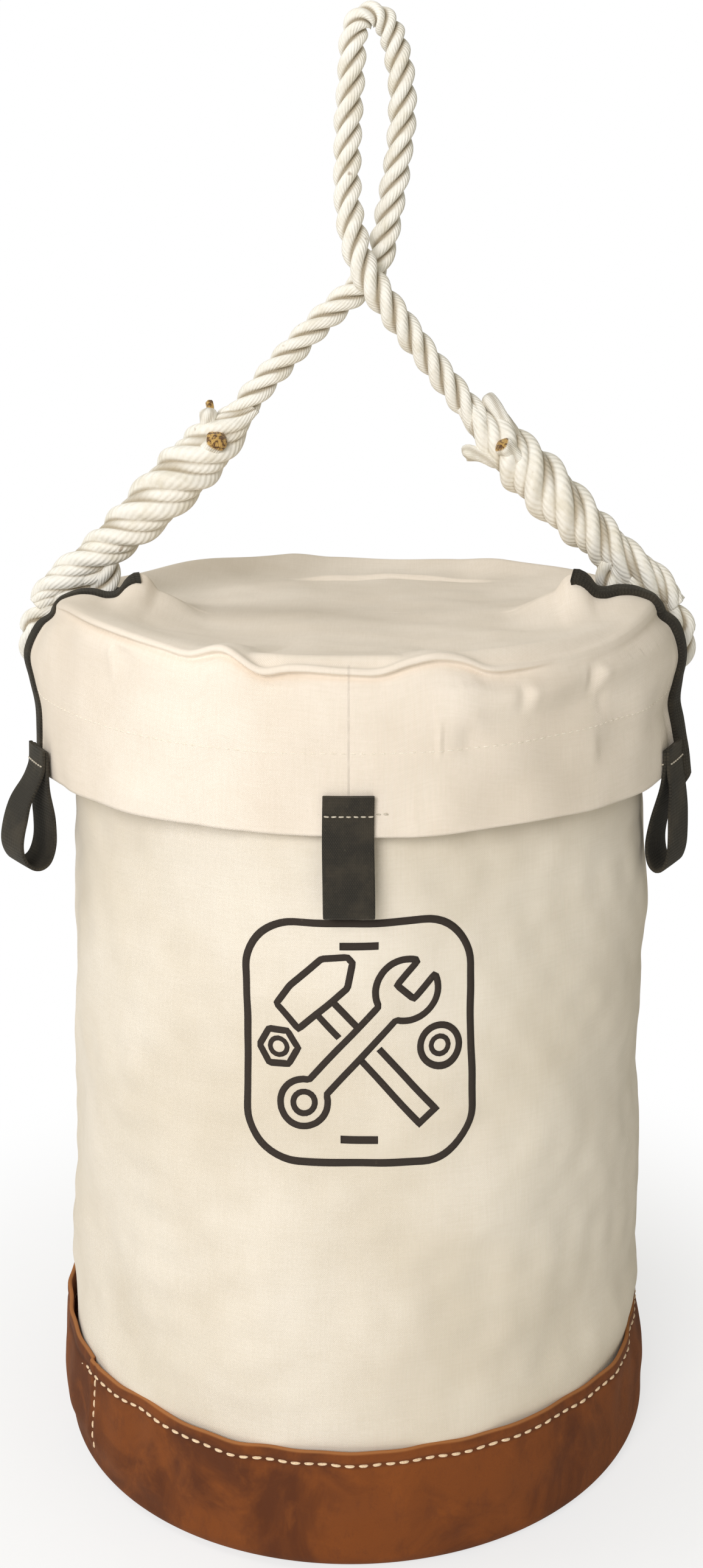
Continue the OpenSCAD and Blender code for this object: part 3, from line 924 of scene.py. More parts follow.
# Its rows run from the centre to the hem, with this many in each gap between the rings that shape it. The
# slots start at SLOT_ROW, the top ends at TOP_ROW and the straight part of the skirt starts at SKIRT_ROW.
LID_STEPS = [10, 10, 18, 9, 6, 5, 5, 4, 3, 4, 4, 6, 7, 7, 7, 7, 7, 6]
SLOT_ROW = sum(LID_STEPS[:3])
TOP_ROW = sum(LID_STEPS[:7])
SKIRT_ROW = sum(LID_STEPS[:12])

# The fold along the front rim: how far it stands up and how far it hangs over, as (degrees, millimetres).
CREST_HEIGHT = [
    (-80, 3.0), (-62, 8.0), (-50, 7.0), (-41, 5.2), (-33, 2.8), (-28, 1.0), (-21, 4.6), (-14, -4.6),
    (-10, -2.8), (0, -3.6), (5, -3.8), (10, 0.4), (14, 2.2), (19, 0.0), (23, -4.6), (30, -5.6), (36, -5.0),
    (50, -3.0), (66, 1.0), (80, 3.0),
]
CREST_FOLD = [
    (-84, 0.0), (-66, 0.7), (-45, 1.3), (-30, 0.9), (-14, 1.9), (0, 1.4), (16, 1.5), (30, 0.9), (40, 0.0),
]

# How far the flap's edge rises over the rope, as (distance from the middle, height).
SLOT_LIFT = [
    (106, 12.0), (112, 18.5), (118, 20.0), (122, 17.0), (126, 11.0), (131, 8.4), (140, 8.0), (148, 6.0),
    (156, 2.6), (163, 0.0),
]

# The pull loops' angles on the front skirt, and how far their sewn and free parts turn about the upright.
LOOP_PHI = {"front": 0.0, "left": math.radians(-74.5), "right": math.radians(76)}
LOOP_TURNS = {
    "front": (0.0, 0.0),
    "left": (math.radians(12), math.radians(21)),
    "right": (math.radians(-10), math.radians(-16)),
}

# Creases pressed into the front skirt, as (path, depth, width).
SKIRT_CREASES = [
    ([(20, 396), (43, 404), (72, 401)], 2.4, 7),
    ([(48, 378), (66, 384), (80, 384)], 1.2, 5),
    ([(-50, 432), (-40, 433), (-34, 431), (-28, 427)], 2.6, 2.2),
    ([(-44, 424), (-36, 427), (-28, 424)], 2.2, 2.2),
    ([(-21, 433), (-14, 421)], 2.2, 2.6),
    ([(22, 424), (28, 418), (30, 410)], 1.6, 3.0),
    ([(36, 424), (44, 418), (48, 408)], 2.2, 3.4),
]


def slot_angles(r):
    """Angles of the slot's front and rear edge at a radius."""
    r = np.maximum(r, SLOT_IN)
    return np.arccos(SLOT_FRONT / r), np.arccos(-SLOT_REAR / r)


def skirt_radius(phi, z):
    """Outer surface of the front skirt: pushed out over the rope at both sides."""
    side = np.abs(np.sin(phi)) ** 8
    far = np.abs(np.sin(phi)) ** 12
    r = skirt_front_r + (skirt_side_r - skirt_front_r) * side
    r = r + 8.0 * far * hump(z, 406, 15) - 1.5 * side * hump(z, 378, 12)
    r = r + 1.6 * np.cos(phi) ** 2 * hump(z, 399, 20)
    r = r - 1.0 * np.cos(phi) ** 2 * hump(z, 372, 14)
    hem_fold = 0.7 * (1 - smooth(z, hem_stitch_z - 0.8, hem_stitch_z + 0.8))
    dents = 0.9 * ripple(phi, z, 95.0, 51, 1.0) + 0.4 * ripple(phi, z, 38.0, 52, 0.8)
    folds = sum(crease(phi, z, *facts) for facts in SKIRT_CREASES)
    return r + hem_fold + dents + folds


def rear_radius(phi, z):
    """Outer surface of the rear skirt, sewn to the wall."""
    dents = 0.8 * ripple(phi, z, 80.0, 53, 1.0) + 0.35 * ripple(phi, z, 34.0, 54)
    near_slot = hump(np.abs(np.abs(phi) - math.pi / 2), 0.0, 0.35)
    return rear_r + 0.6 + dents * (1 - 0.6 * near_slot) + 7.0 * near_slot * hump(z, 412, 18)


def hem_height(phi):
    """Lower edge of the lid, hanging deeper at the front part's two ends."""
    deeper = 7.5 * np.abs(np.sin(phi)) ** 8 * (np.cos(phi) > 0)
    return hem_z + 0.6 * ripple(phi, 0 * phi, 120.0, 55) - deeper


def lid_rings(phi):
    """Control rings of the lid from its centre to its hem, as (radius, height) at each angle."""
    degrees = np.degrees((phi + math.pi) % TURN - math.pi)
    front = np.cos(phi) > -0.1
    crest = np.where(front, knots(CREST_HEIGHT, degrees), 2.5 + 0.6 * ripple(phi, 0 * phi, 80.0, 56))
    fold = np.where(front, knots(CREST_FOLD, degrees), 0.35)
    plane = lid_top_z - 1.2
    crest_z = plane + crest
    side = np.abs(np.sin(phi)) ** 8
    crest_r = np.where(front, skirt_front_r - 3.0 + 3.0 * side, rear_r - 1.0)
    over_hoop = plane + 1.2 + np.maximum(crest, 0) * 0.85
    rear_dip = np.where(front, 0.0, 1.0) * smooth(np.abs(np.abs(degrees) - 90), 5, 40)
    flat = 0 * phi
    radius = np.where(front, skirt_radius(phi, crest_z - 12), rear_radius(phi, crest_z - 12))
    rings = [
        (flat + 1.5, flat + plane - 3.6),
        (flat + 45, flat + plane - 3.4),
        (flat + 85, flat + plane - 3.2),
        (flat + SLOT_IN, plane - 2.6 - 1.6 * rear_dip + np.maximum(crest, 0) * 0.35),
        (flat + 134, plane - 1.2 - 2.4 * rear_dip + np.maximum(crest, 0) * 0.6),
        (flat + 145, plane + 0.6 - 1.4 * rear_dip + np.maximum(crest, 0) * 0.75),
        (flat + 151, over_hoop),
        (crest_r - 3.2, crest_z + 0.9),
        (crest_r - 0.6 + 0.9 * fold, crest_z + 1.0 * fold - 0.4),
        (crest_r + 0.2 + 1.1 * fold, crest_z - 1.4),
        (crest_r + 0.9 - 2.2 * fold, crest_z - 3.4),
        (crest_r + 1.5 - 0.5 * fold, crest_z - 6.4),
        (radius, crest_z - 12.0),
    ]
    top = crest_z - 12
    bottom = hem_height(phi)
    for share in (0.18, 0.36, 0.54, 0.72, 0.88, 1.0):
        z = top + (bottom - top) * share
        rings.append((np.where(front, skirt_radius(phi, z), rear_radius(phi, z)), z))
    return np.array(rings)


def lid_points():
    """Rows of lid points from the centre to the hem."""
    front_edge, rear_edge = slot_angles(SLOT_IN)
    front = np.linspace(-front_edge, front_edge, FRONT_COLUMNS)
    fill = np.linspace(front_edge, rear_edge, FILL_COLUMNS + 2)[1:-1]
    rear = np.linspace(rear_edge, TURN - rear_edge, REAR_COLUMNS)
    phi = np.concatenate([front, fill, rear, TURN - fill[::-1]])
    rings = lid_rings(phi)
    rows = catmull_rom(np.moveaxis(rings, 1, 2), LID_STEPS)
    r, z = rows[..., 0], rows[..., 1]
    at_front, at_rear = slot_angles(r)
    column = np.arange(len(phi))
    is_front = column < FRONT_COLUMNS
    is_rear = (column >= FIRST_REAR) & (column <= LAST_REAR)
    turned = np.where(is_front, phi * at_front / front_edge, phi + 0 * r)
    rear_share = (phi - math.pi) / (math.pi - rear_edge)
    turned = np.where(is_rear, math.pi + rear_share * (math.pi - at_rear), turned)
    x, y = r * np.sin(turned), -r * np.cos(turned)
    ahead = np.maximum(-y - SLOT_FRONT, 0)
    z = z + raised_edge(x, y, z, ahead)
    curl = 2.6 * (1 - smooth(z, 424, 436)) + np.where(x > 0, 4.6, 0) * (1 - smooth(z, 372, 398))
    x = x + np.sign(x) * curl * (1 - smooth(ahead, 0, 13)) * is_front
    z = z + rear_crease(x, y) * (z > 425)
    wrinkle = 0.7 * flat_ripple(x, y, 80.0, 57) + 0.22 * flat_ripple(x, y, 31.0, 58)
    z = z + wrinkle * (1 - smooth(r, 120, 150))
    return np.stack([x, y, z], -1)


def raised_edge(x, y, z, ahead):
    """How far the lid stands up where the flap's two ends pass over the rope."""
    lift = knots(SLOT_LIFT, np.abs(x)) * smooth(np.abs(x), 76, 112)
    share = np.where(y < -SLOT_FRONT, np.exp(-((ahead / 25.0) ** 1.3)), hump(y, -SLOT_FRONT, 18.0))
    return lift * share * smooth(z, 412, 428)


def rear_crease(x, y):
    """A soft fold across the rear of the top, lower behind it."""
    fold_y = 105 + 1.5 * np.sin(x / 11.0) - 0.0025 * x**2
    reach = smooth(x, -48, -20) * (1 - smooth(x, 58, 88)) * smooth(y, 60, 90)
    behind = np.maximum(y - fold_y, 0)
    lip = 1.9 * hump(y, fold_y + 2, 3.0) - 1.6 * hump(y, fold_y - 2.6, 2.4) - 0.07 * behind
    return reach * lip


# The cloth simulation of the lid: its length in frames, the furthest it may move a point, the passes that
# smooth what it did, and the cloth's settings.
SETTLE_FRAMES = 28
SETTLE_LIMIT = 3.5
SETTLE_PASSES = 4
CLOTH = {
    "quality": 6,
    "mass": 0.25,
    "tension_stiffness": 40,
    "compression_stiffness": 40,
    "shear_stiffness": 12,
    "bending_stiffness": 1.2,
    "air_damping": 4,
    "shrink_min": -0.012,
    "vertex_group_mass": "hold",
}


def coarse_places(rows, columns):
    """The rows and columns of the lid grid that the simulation uses."""
    row = np.unique(np.concatenate([np.arange(0, SLOT_ROW, 4), np.arange(SLOT_ROW, rows, 3), [rows - 1]]))
    parts = [
        np.linspace(0, FRONT_COLUMNS - 1, 84),
        np.linspace(FRONT_COLUMNS + 2, FIRST_REAR - 3, 3),
        np.linspace(FIRST_REAR, LAST_REAR, 60),
        np.linspace(LAST_REAR + 3, columns - 3, 3),
    ]
    return row, np.round(np.concatenate(parts)).astype(int)


def held_share(coarse, row, column):
    """1 where the cloth is held: along the rim, round the rope slots and at the sewn back."""
    z = coarse[..., 2]
    below = row[:, None] >= SLOT_ROW
    edge = np.isin(column, [0, FRONT_COLUMNS - 1, FIRST_REAR, LAST_REAR])
    fill = ~((column < FRONT_COLUMNS) | ((column >= FIRST_REAR) & (column <= LAST_REAR)))
    on_rim = hump(np.hypot(coarse[..., 0], coarse[..., 1]), 151.0, 13.0) * (z > 420)
    sewn = (coarse[..., 1] > 0) & (z < 400)
    return np.maximum(on_rim, ((edge | fill)[None, :] & below) | sewn).astype(float)


def simulate(coarse, faces, hold):
    """Runs the cloth and returns how far it moved each point, in millimetres."""
    piece = new_piece("settling", coarse, faces.tolist(), LID_CANVAS)
    group = piece.vertex_groups.new(name=CLOTH["vertex_group_mass"])
    for index, weight in enumerate(hold.ravel()):
        group.add([index], float(weight), "REPLACE")
    cloth = piece.modifiers.new("Cloth", "CLOTH")
    for key, value in CLOTH.items():
        setattr(cloth.settings, key, value)
    cloth.collision_settings.use_collision = False
    cloth.point_cache.frame_end = SETTLE_FRAMES
    scene = bpy.context.scene
    for step in range(1, SETTLE_FRAMES + 1):
        scene.frame_set(step)
    graph = bpy.context.evaluated_depsgraph_get()
    done = piece.evaluated_get(graph).to_mesh()
    settled = np.zeros(len(done.vertices) * 3)
    done.vertices.foreach_get("co", settled)
    scene.frame_set(1)
    moved = settled.reshape(coarse.shape) / MM - coarse
    bpy.data.objects.remove(piece, do_unlink=True)
    return np.where(np.isfinite(moved), moved, 0)


def settle(points):
    """Lets the lid sheet settle as cloth on a coarse grid and returns the points moved by what it did.

    The sheet is slightly too large for where it is held, so it buckles."""
    rows, columns = points.shape[:2]
    row, column = coarse_places(rows, columns)
    coarse = points[row][:, column]
    faces, places = grid_faces(len(row), len(column), False, True)
    faces = faces[is_cloth(row[places[:, 0, 0]], column[places[:, 0, 1]])]
    hold = held_share(coarse, row, column)
    moved = simulate(coarse, faces, hold)
    size = np.linalg.norm(moved, axis=2, keepdims=True)
    moved = moved * SETTLE_LIMIT * np.tanh(size / SETTLE_LIMIT) / np.maximum(size, 1e-6)
    for _ in range(SETTLE_PASSES):
        moved[1:-1] = (moved[:-2] + 2 * moved[1:-1] + moved[2:]) / 4
        moved[:, 1:-1] = (moved[:, :-2] + 2 * moved[:, 1:-1] + moved[:, 2:]) / 4
    moved = moved * (1 - hold[..., None])
    by_row = np.stack([resample(np.arange(rows), row, moved[:, j]) for j in range(len(column))], 1)
    fine = np.stack([resample(np.arange(columns), column, line) for line in by_row])
    x, y, z = np.moveaxis(points, 2, 0)
    phi = np.arctan2(x, -y)
    inward = np.minimum(fine[..., 0] * np.sin(phi) - fine[..., 1] * np.cos(phi), 0) * (z < 420)
    fine[..., 0] -= inward * np.sin(phi)
    fine[..., 1] += inward * np.cos(phi)
    fine[..., 2] *= np.where((z > 420) & (fine[..., 2] < 0), 0.3, 1.0)
    sewn = np.max([hump(phi, loop_phi, 0.13) for loop_phi in LOOP_PHI.values()], axis=0)
    return points + fine * (1 - sewn * (1 - smooth(z, 372, 410)))[..., None]


def is_cloth(row, column):
    """Where the lid has cloth: everywhere but in the two rope slots."""
    in_front = column < FRONT_COLUMNS - 1
    in_rear = (column >= FIRST_REAR) & (column < LAST_REAR)
    return (row < SLOT_ROW) | in_front | in_rear


def grid_normals(points):
    """Outward normals of a grid of points, rows by columns."""
    return unit(np.cross(np.gradient(points, axis=0), np.gradient(points, axis=1)))


def make_lid(points):
    """The lid sheet, which crosses the fold just behind the front part."""
    rows, columns = points.shape[:2]
    faces, places = grid_faces(rows, columns, False, True)
    keep = is_cloth(places[:, 0, 0], places[:, 0, 1])
    faces, places = faces[keep], places[keep]
    used = np.zeros(rows * columns, bool)
    used[faces.ravel()] = True
    index = np.cumsum(used) - 1
    steps = np.linalg.norm(np.diff(points, axis=0), axis=2)
    down = np.concatenate([np.zeros((1, columns)), np.cumsum(steps, axis=0)])
    front_angle = np.arctan2(points[..., 0], -points[..., 1])
    on_top = places[..., 0] < TOP_ROW
    row, column = places[..., 0], places[..., 1] % columns
    top_uv = points[row, column][..., :2]
    around = np.where(places[..., 1] >= columns, TURN, 0) + (front_angle[row, column] % TURN)
    side_uv = np.stack([around * bucket_r, down[row, column]], -1)
    whole_top = on_top.all(axis=1)[:, None, None]
    uv = np.where(whole_top, top_uv, side_uv) * MM
    centre = int(used.sum())
    flat = points.reshape(-1, 3)[used]
    flat = np.concatenate([flat, points[0].mean(0)[None]])
    quads = index[faces].tolist()
    first_ring = index[np.arange(columns)]
    fans = [[centre, int(first_ring[(k + 1) % columns]), int(first_ring[k])] for k in range(columns)]
    lid = new_piece("lid_canvas", flat, quads + fans, LID_CANVAS, uv)
    lid.data.flip_normals()
    solidify(lid, LID_T)
    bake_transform(lid)
    finish_piece(lid, "canvas", "lid_front_panel", "lid_skirt", "lid_rear_panel", "lid_rear_skirt")


# ---------- bindings, stitches and pull loops on the lid ----------

# Webbing folded round an edge: how far it reaches in on each face, and its thickness.
BINDING_W = 9.0
BINDING_T = 1.2


def from_edge(block, distances):
    """Points and outward normals at distances (mm) in from the first column of a block of lid points.

    Negative distances lie beyond the edge."""
    normals = grid_normals(block)
    points = np.array([resample(distances, arc_length(line), line) for line in block])
    facing = np.array([resample(distances, arc_length(line), up) for line, up in zip(block, normals)])
    beyond = np.minimum(distances, 0)[None, :, None]
    return points - beyond * unit(block[:, 0] - block[:, 2])[:, None], unit(facing)


def folded_binding(name, block, flip, tail=0.0, slant=0.0):
    """Webbing folded round the edge at the first column of a block, rows running along the edge.

    tail is how far it runs on past the last row, cut off at a slant."""
    width = BINDING_W + 0.35 * np.sin(np.arange(len(block)) * 0.21)
    shares = np.array([1.0, 0.97, 0.8, 0.55, 0.3, 0.08])
    rise = np.array([0.75, 1.0, 1.06, 1.08, 1.08, 1.0]) * BINDING_T + 0.15
    rim_distances = [-0.75, -1.25, -1.35, -1.25, -0.75]
    rim_heights = [0.55, -0.2 - LID_T * 0.2, -LID_T / 2, -LID_T * 0.8 + 0.2, -LID_T - 0.55]
    distances = np.concatenate([shares * BINDING_W, rim_distances, shares[::-1] * BINDING_W])
    heights = np.concatenate([rise, rim_heights, -LID_T - rise[::-1]])
    points, facing = from_edge(block, distances)
    ring = points + facing * heights[None, :, None]
    inward = unit(points[:, 0] - points[:, 4])
    ring = ring + inward[:, None] * ((width - BINDING_W)[:, None] * (distances > 2))[..., None]
    if tail:
        last, run = ring[-1], unit(ring[-1] - ring[-4])
        reach = tail * (1 - slant * (1 - distances / BINDING_W))
        extra = [last + run * (reach * t)[:, None] for t in (0.25, 0.5, 0.75, 1.0)]
        ring = np.concatenate([ring, np.array(extra)])
    rows, count = ring.shape[:2]
    faces, places = grid_faces(rows, count, False, True)
    along = arc_length(ring.mean(1))
    around = np.arange(count + 1) / count * 2 * (BINDING_W + 2)
    uv = np.stack([along[places[..., 0]], around[places[..., 1]]], -1) * MM
    ends = end_caps(rows, count)
    if flip:
        faces, uv = faces[:, ::-1], uv[:, ::-1]
        ends = [end[::-1] for end in ends]
    return new_piece(name, ring, faces.tolist() + ends, WEBBING, uv)


def make_bindings(grid):
    """Webbing along the four edges of the slots and over the slots' inner ends."""
    edges = [
        ("right_edge", FRONT_COLUMNS - 1, -1, "lid_flap", 9.0, 0.75),
        ("left_edge", 0, 1, "lid_flap", 3.0, 0.5),
        ("right_slot", FIRST_REAR, 1, "bucket", 0.0, 0.0),
        ("left_slot", LAST_REAR, -1, "bucket", 0.0, 0.0),
    ]
    for side, column, step, body, tail, slant in edges:
        name = side + "_webbing"
        block = grid[SLOT_ROW:, column + step * np.arange(18)]
        piece = folded_binding(name, block, step > 0, tail, slant)
        if body == "bucket":
            piece = join(name, [piece, slot_end(grid, step)])
        fit(piece, body, "webbing", side + "_binding")


def slot_end(grid, step):
    """Webbing over the slot's inner end, from its rear edge forward, clear of the fold."""
    if step > 0:
        columns = np.arange(FRONT_COLUMNS + 12, FIRST_REAR + 6)
    else:
        columns = np.arange(grid.shape[1] - 13, LAST_REAR - 6, -1)
    block = np.moveaxis(grid[SLOT_ROW - 12 : SLOT_ROW + 1][::-1][:, columns], 1, 0)
    return folded_binding("slot_end", block, step < 0)


def level_line(block, z):
    """Where the columns of a block cross a height, with outward normals."""
    normals = grid_normals(block)
    line, facing = [], []
    for column in range(block.shape[1]):
        heights = block[::-1, column, 2]
        line.append(resample([z], heights, block[::-1, column])[0])
        facing.append(resample([z], heights, normals[::-1, column])[0])
    return np.array(line), unit(np.array(facing))


def stitch_line(name, line, facing, radius):
    """Stitches at an even pitch along a line on the lid."""
    pitch, length = 4.6, 3.3
    along = arc_length(line)
    centres = np.arange(pitch / 2, along[-1], pitch)
    place = resample(centres, along, line)
    out = unit(resample(centres, along, facing))
    run = resample(centres, along, np.gradient(line, axis=0))
    return stitch_row(name, place - out * radius * 0.3, run, out, length, radius, CANVAS_THREAD)


def make_lid_stitches(grid):
    """Stitches of the front skirt's hem and the two rows that sew the rear skirt to the wall."""
    line, facing = level_line(grid[SKIRT_ROW:, :FRONT_COLUMNS], hem_stitch_z)
    front = stitch_line("skirt_hem_stitches", line, facing, 0.32)
    fit(front, "lid_flap", "thread", "skirt_hem_stitching")
    rows = []
    for z in (hem_z + 7, hem_z + 13):
        line, facing = level_line(grid[SKIRT_ROW:, FIRST_REAR : LAST_REAR + 1], z)
        rows.append(stitch_line("lid_rear_stitches", line[6:-6], facing[6:-6], 0.45))
    rear = join("lid_rear_stitches", rows)
    fit(rear, "bucket", "thread", "lid_rear_stitching")


# Half the section of a webbing strap: shares of its half width, and of its thickness there.
STRAP_ACROSS = np.array([-1, -0.985, -0.94, -0.5, 0, 0.5, 0.94, 0.985, 1])
STRAP_FACE = np.array([0.25, 0.42, 0.5, 0.53, 0.54, 0.53, 0.5, 0.42, 0.25])


def strap(name, phi, path, width, seam_z, turns):
    """Strip of webbing along a path of (radius, height) points, bent round the lid where it is sewn.

    turns are the angles of its sewn and its free part about the upright."""
    path = smooth_path([(r, 0.0, z) for r, z in path], 1.2)[:, [0, 2]]
    run = unit(np.gradient(path, axis=0))
    normal = np.stack([run[:, 1], -run[:, 0]], 1)
    face = STRAP_FACE * WEBBING_T
    side = np.concatenate([STRAP_ACROSS, STRAP_ACROSS[::-1]]) * width / 2
    height = np.concatenate([face, -face[::-1]])
    rng = np.random.default_rng(len(name))
    wander = 0.25 * np.sin(np.linspace(0, 9, len(path)) + rng.uniform(0, TURN))
    sewn = smooth(path[:, 1], seam_z - 12, seam_z)
    lateral = side[None, :] + wander[:, None]
    radius = path[:, :1] + normal[:, :1] * height
    level = path[:, 1:] + normal[:, 1:] * height
    radius = radius - sewn[:, None] * lateral**2 / (2 * skirt_side_r)
    bend = turns[1] + (turns[0] - turns[1]) * smooth(path[:, 1:], seam_z - 24, seam_z - 3)
    middle = path[0, 0] + 2.0
    out = radius - middle
    radius = middle + out * np.cos(bend) - lateral * np.sin(bend)
    lateral = out * np.sin(bend) + lateral * np.cos(bend)
    x = radius * math.sin(phi) + lateral * math.cos(phi)
    y = -radius * math.cos(phi) + lateral * math.sin(phi)
    points = np.stack([x, y, level], -1)
    rows, count = points.shape[:2]
    faces, places = grid_faces(rows, count, False, True)
    over = np.concatenate([side, side[:1]])
    uv = np.stack([arc_length(path)[places[..., 0]], over[places[..., 1]]], -1) * MM
    return new_piece(name, points, faces.tolist() + end_caps(rows, count), WEBBING, uv)


def make_tack(side, radius, z, width, extra_left, extra_right):
    """Bar of stitches over a pull loop's sewn end, its thread running out past both edges."""
    phi, turn = LOOP_PHI[side], LOOP_TURNS[side][0]
    lateral = np.arange(-width / 2 + 0.5 - extra_left, width / 2 + extra_right, 3.4)
    radial = outwards(phi)
    level = np.array([math.cos(phi), math.sin(phi), 0.0])
    along = level * math.cos(turn) - radial * math.sin(turn)
    facing = radial * math.cos(turn) + level * math.sin(turn)
    place = radial * (radius - 1) + facing + along * lateral[:, None] + np.array([0, 0, z])
    drop = np.where(np.abs(lateral) > width / 2, 2 * WEBBING_T, 0.0)
    place = place - facing * (drop + lateral**2 / (2 * skirt_side_r))[:, None]
    along, facing = np.broadcast_to(along, place.shape), np.broadcast_to(facing, place.shape)
    tack = stitch_row(side + "_loop_stitches", place, along, facing, 2.5, 0.42, TACK_THREAD, seed=9)
    fit(tack, "lid_flap", "thread", side + "_loop_tack")


front_loop_low, front_loop_high = box_mm("front_pull_loop")
FRONT_FOOT = front_loop_low[2] - front_loop_high[2]

# The pull loops as (distance out from the skirt, height above the loop's hinge), from the inner face of the
# sewn end down round the loop and up to its outer face.
FRONT_LOOP = [
    (0.2, 11.4), (0.1, 5), (0, 0), (-0.4, -12), (-0.6, -28), (-0.8, FRONT_FOOT + 6), (0.3, FRONT_FOOT + 1.4),
    (2.8, FRONT_FOOT + 1.0), (4.0, FRONT_FOOT + 4.6), (3.4, FRONT_FOOT + 14), (2.3, -22), (2.0, -8),
    (1.95, 2), (2.0, 8), (2.6, 12.2),
]
LEFT_LOOP = [
    (8.1, 12), (8.1, 4), (7.9, -1), (6.8, -14), (5.4, -28), (5.6, -38), (8.6, -45.8), (14.2, -48.2),
    (20.0, -45.2), (23.4, -38), (23.0, -29), (19.2, -16), (14.0, -7), (11.2, -0.5), (10.1, 4), (10.0, 13.2),
]
RIGHT_LOOP = [
    (8.1, 12), (8.1, 4), (7.4, -2), (4.2, -16), (0.4, -30), (-1.2, -40), (0.0, -48.5), (3.8, -52.2),
    (8.2, -50.0), (10.8, -43), (11.6, -33), (11.6, -18), (11.2, -8), (10.4, -0.5), (10.0, 4), (9.9, 13.2),
]


def make_pull_loops():
    """Doubled webbing loops. Each turns about the upright just below its sewn end."""
    lap = skirt_front_r + 1.2
    loops = [
        ("front", FRONT_LOOP, 24.0, 3.0, (2.0, 8.0)),
        ("left", LEFT_LOOP, 25.0, 5.0, (1.0, 1.0)),
        ("right", RIGHT_LOOP, 25.0, 5.0, (1.0, 1.0)),
    ]
    for side, shape, width, tack_up, spill in loops:
        hinge_z = box_mm(side + "_pull_loop")[1][2]
        path = [(lap + out, hinge_z + up) for out, up in shape]
        piece = strap(side + "_pull_strap", LOOP_PHI[side], path, width, hinge_z, LOOP_TURNS[side])
        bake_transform(piece)
        finish_piece(piece, "webbing", side + "_loop_base", side + "_pull_loop")
        make_tack(side, path[-2][0] + WEBBING_T / 2 + 0.1, hinge_z + tack_up, width, *spill)


# ---------- rope handle ----------

# Lengths in which the rope's strands and the splice's strands go round once.
LAY = 42.5
SPLICE_LAY = 62.0
STRAND_SIDES = 14


def strand_outline(offset, strand_r, away):
    """Distance from the rope's middle to a strand's round back, at angles away from the strand."""
    reach = strand_r**2 - (offset * np.sin(away)) ** 2
    back = offset * np.cos(away) + np.sqrt(np.maximum(reach, 0))
    return np.where((reach > 0) & (np.cos(away) > 0), back, 0.0)


def unchanged(share):
    """1 all along."""
    return 1.0 + 0 * share


def laid_rope(name, path, phase, seed, swell=unchanged, tight=unchanged):
    """Three-strand rope along a path.

    swell and tight give its size and twist as functions of the share of the path passed."""
    count = 3 * STRAND_SIDES
    angle = np.arange(count) / count * TURN
    away = (angle + TURN / 6) % (TURN / 3) - TURN / 6
    base = strand_outline(0.52, 0.485, away)
    rng = np.random.default_rng(seed)
    along = arc_length(path)
    wave = np.zeros(len(path))
    for length in (19.0, 31.0, 57.0):
        wave = wave + np.sin(along / length * TURN + rng.uniform(0, TURN))
    share = along / along[-1]
    size = ROPE_R * (1 + 0.012 * wave) * swell(share)
    outline = size[:, None] * base[None, :]
    # Share of painted shade, highest deep in the grooves between strands.
    groove_shade = np.clip((0.86 - base) / 0.42, 0, 1)
    twist = phase + np.cumsum(TURN / LAY * tight(share) * np.gradient(along))
    return rope_tube(name, path, outline, twist, groove_shade)


def splice(name, path, radius, phase, seed):
    """Six-strand splice: three strands stand proud, the tucked ones rise in turn in their grooves."""
    count = 96
    angle = np.arange(count) / count * TURN
    along = arc_length(path)
    ends = knots([(0, 0.66), (0.10, 0.92), (0.2, 1.0), (0.9, 1.0), (1, 0.5)], along / along[-1])
    outline = np.zeros((len(path), count))
    rng = np.random.default_rng(seed)
    for k in range(6):
        away = (angle - k * TURN / 6 + math.pi) % TURN - math.pi
        shift = rng.uniform(-0.5, 0.5)
        rise = 0.5 + 0.5 * np.cos(along / 37.0 * TURN + k * 2.1 + shift)
        proud = k % 2 == 0
        offset = 0.52 + 0.05 * rise if proud else 0.42 + 0.09 * rise
        strand_r = 0.44 + 0.02 * rise if proud else 0.34 + 0.04 * rise
        outline = np.maximum(outline, strand_outline(offset[:, None], strand_r[:, None], away[None, :]))
    outline = np.maximum(outline, 0.56)
    # Share of painted shade, highest deep in the grooves between strands.
    groove_shade = np.clip((0.86 - outline) / 0.2, 0, 1)
    outline = outline * radius * ends[:, None]
    wander = 0.16 * np.sin(along / 23.0 + rng.uniform(0, TURN)) + 0.12 * np.sin(along / 9.0)
    twist = phase + along / SPLICE_LAY * TURN + wander
    return rope_tube(name, path, outline, twist, groove_shade)


def strand_end(path, radius, melted):
    """Blunt end of a tucked strand that stands out. melted is the share of it that the flame browned."""
    points = smooth_path(path, 0.7)
    share = np.linspace(0, 1, len(points))
    left = arc_length(points)[-1] - arc_length(points)
    rounding = np.sqrt(np.clip(1 - (1 - np.minimum(left / (0.75 * radius), 1)) ** 2, 0.04, 1))
    size = radius * (1 + 0.06 * np.sin(share * 9)) * rounding
    count = 20
    angle = np.arange(count) / count * TURN
    outline = size[:, None] * (1 + 0.07 * np.cos(4 * angle + 1.0))[None, :]
    melt = smooth(share, 1 - melted, 1.02 - melted / 2)[:, None]
    # Share of painted shade in the troughs between the end's yarns.
    groove_shade = 0.22 * (1 - np.cos(4 * angle + 1.0))
    return rope_tube("strand_end", points, outline, share * 2.0, groove_shade, melt)


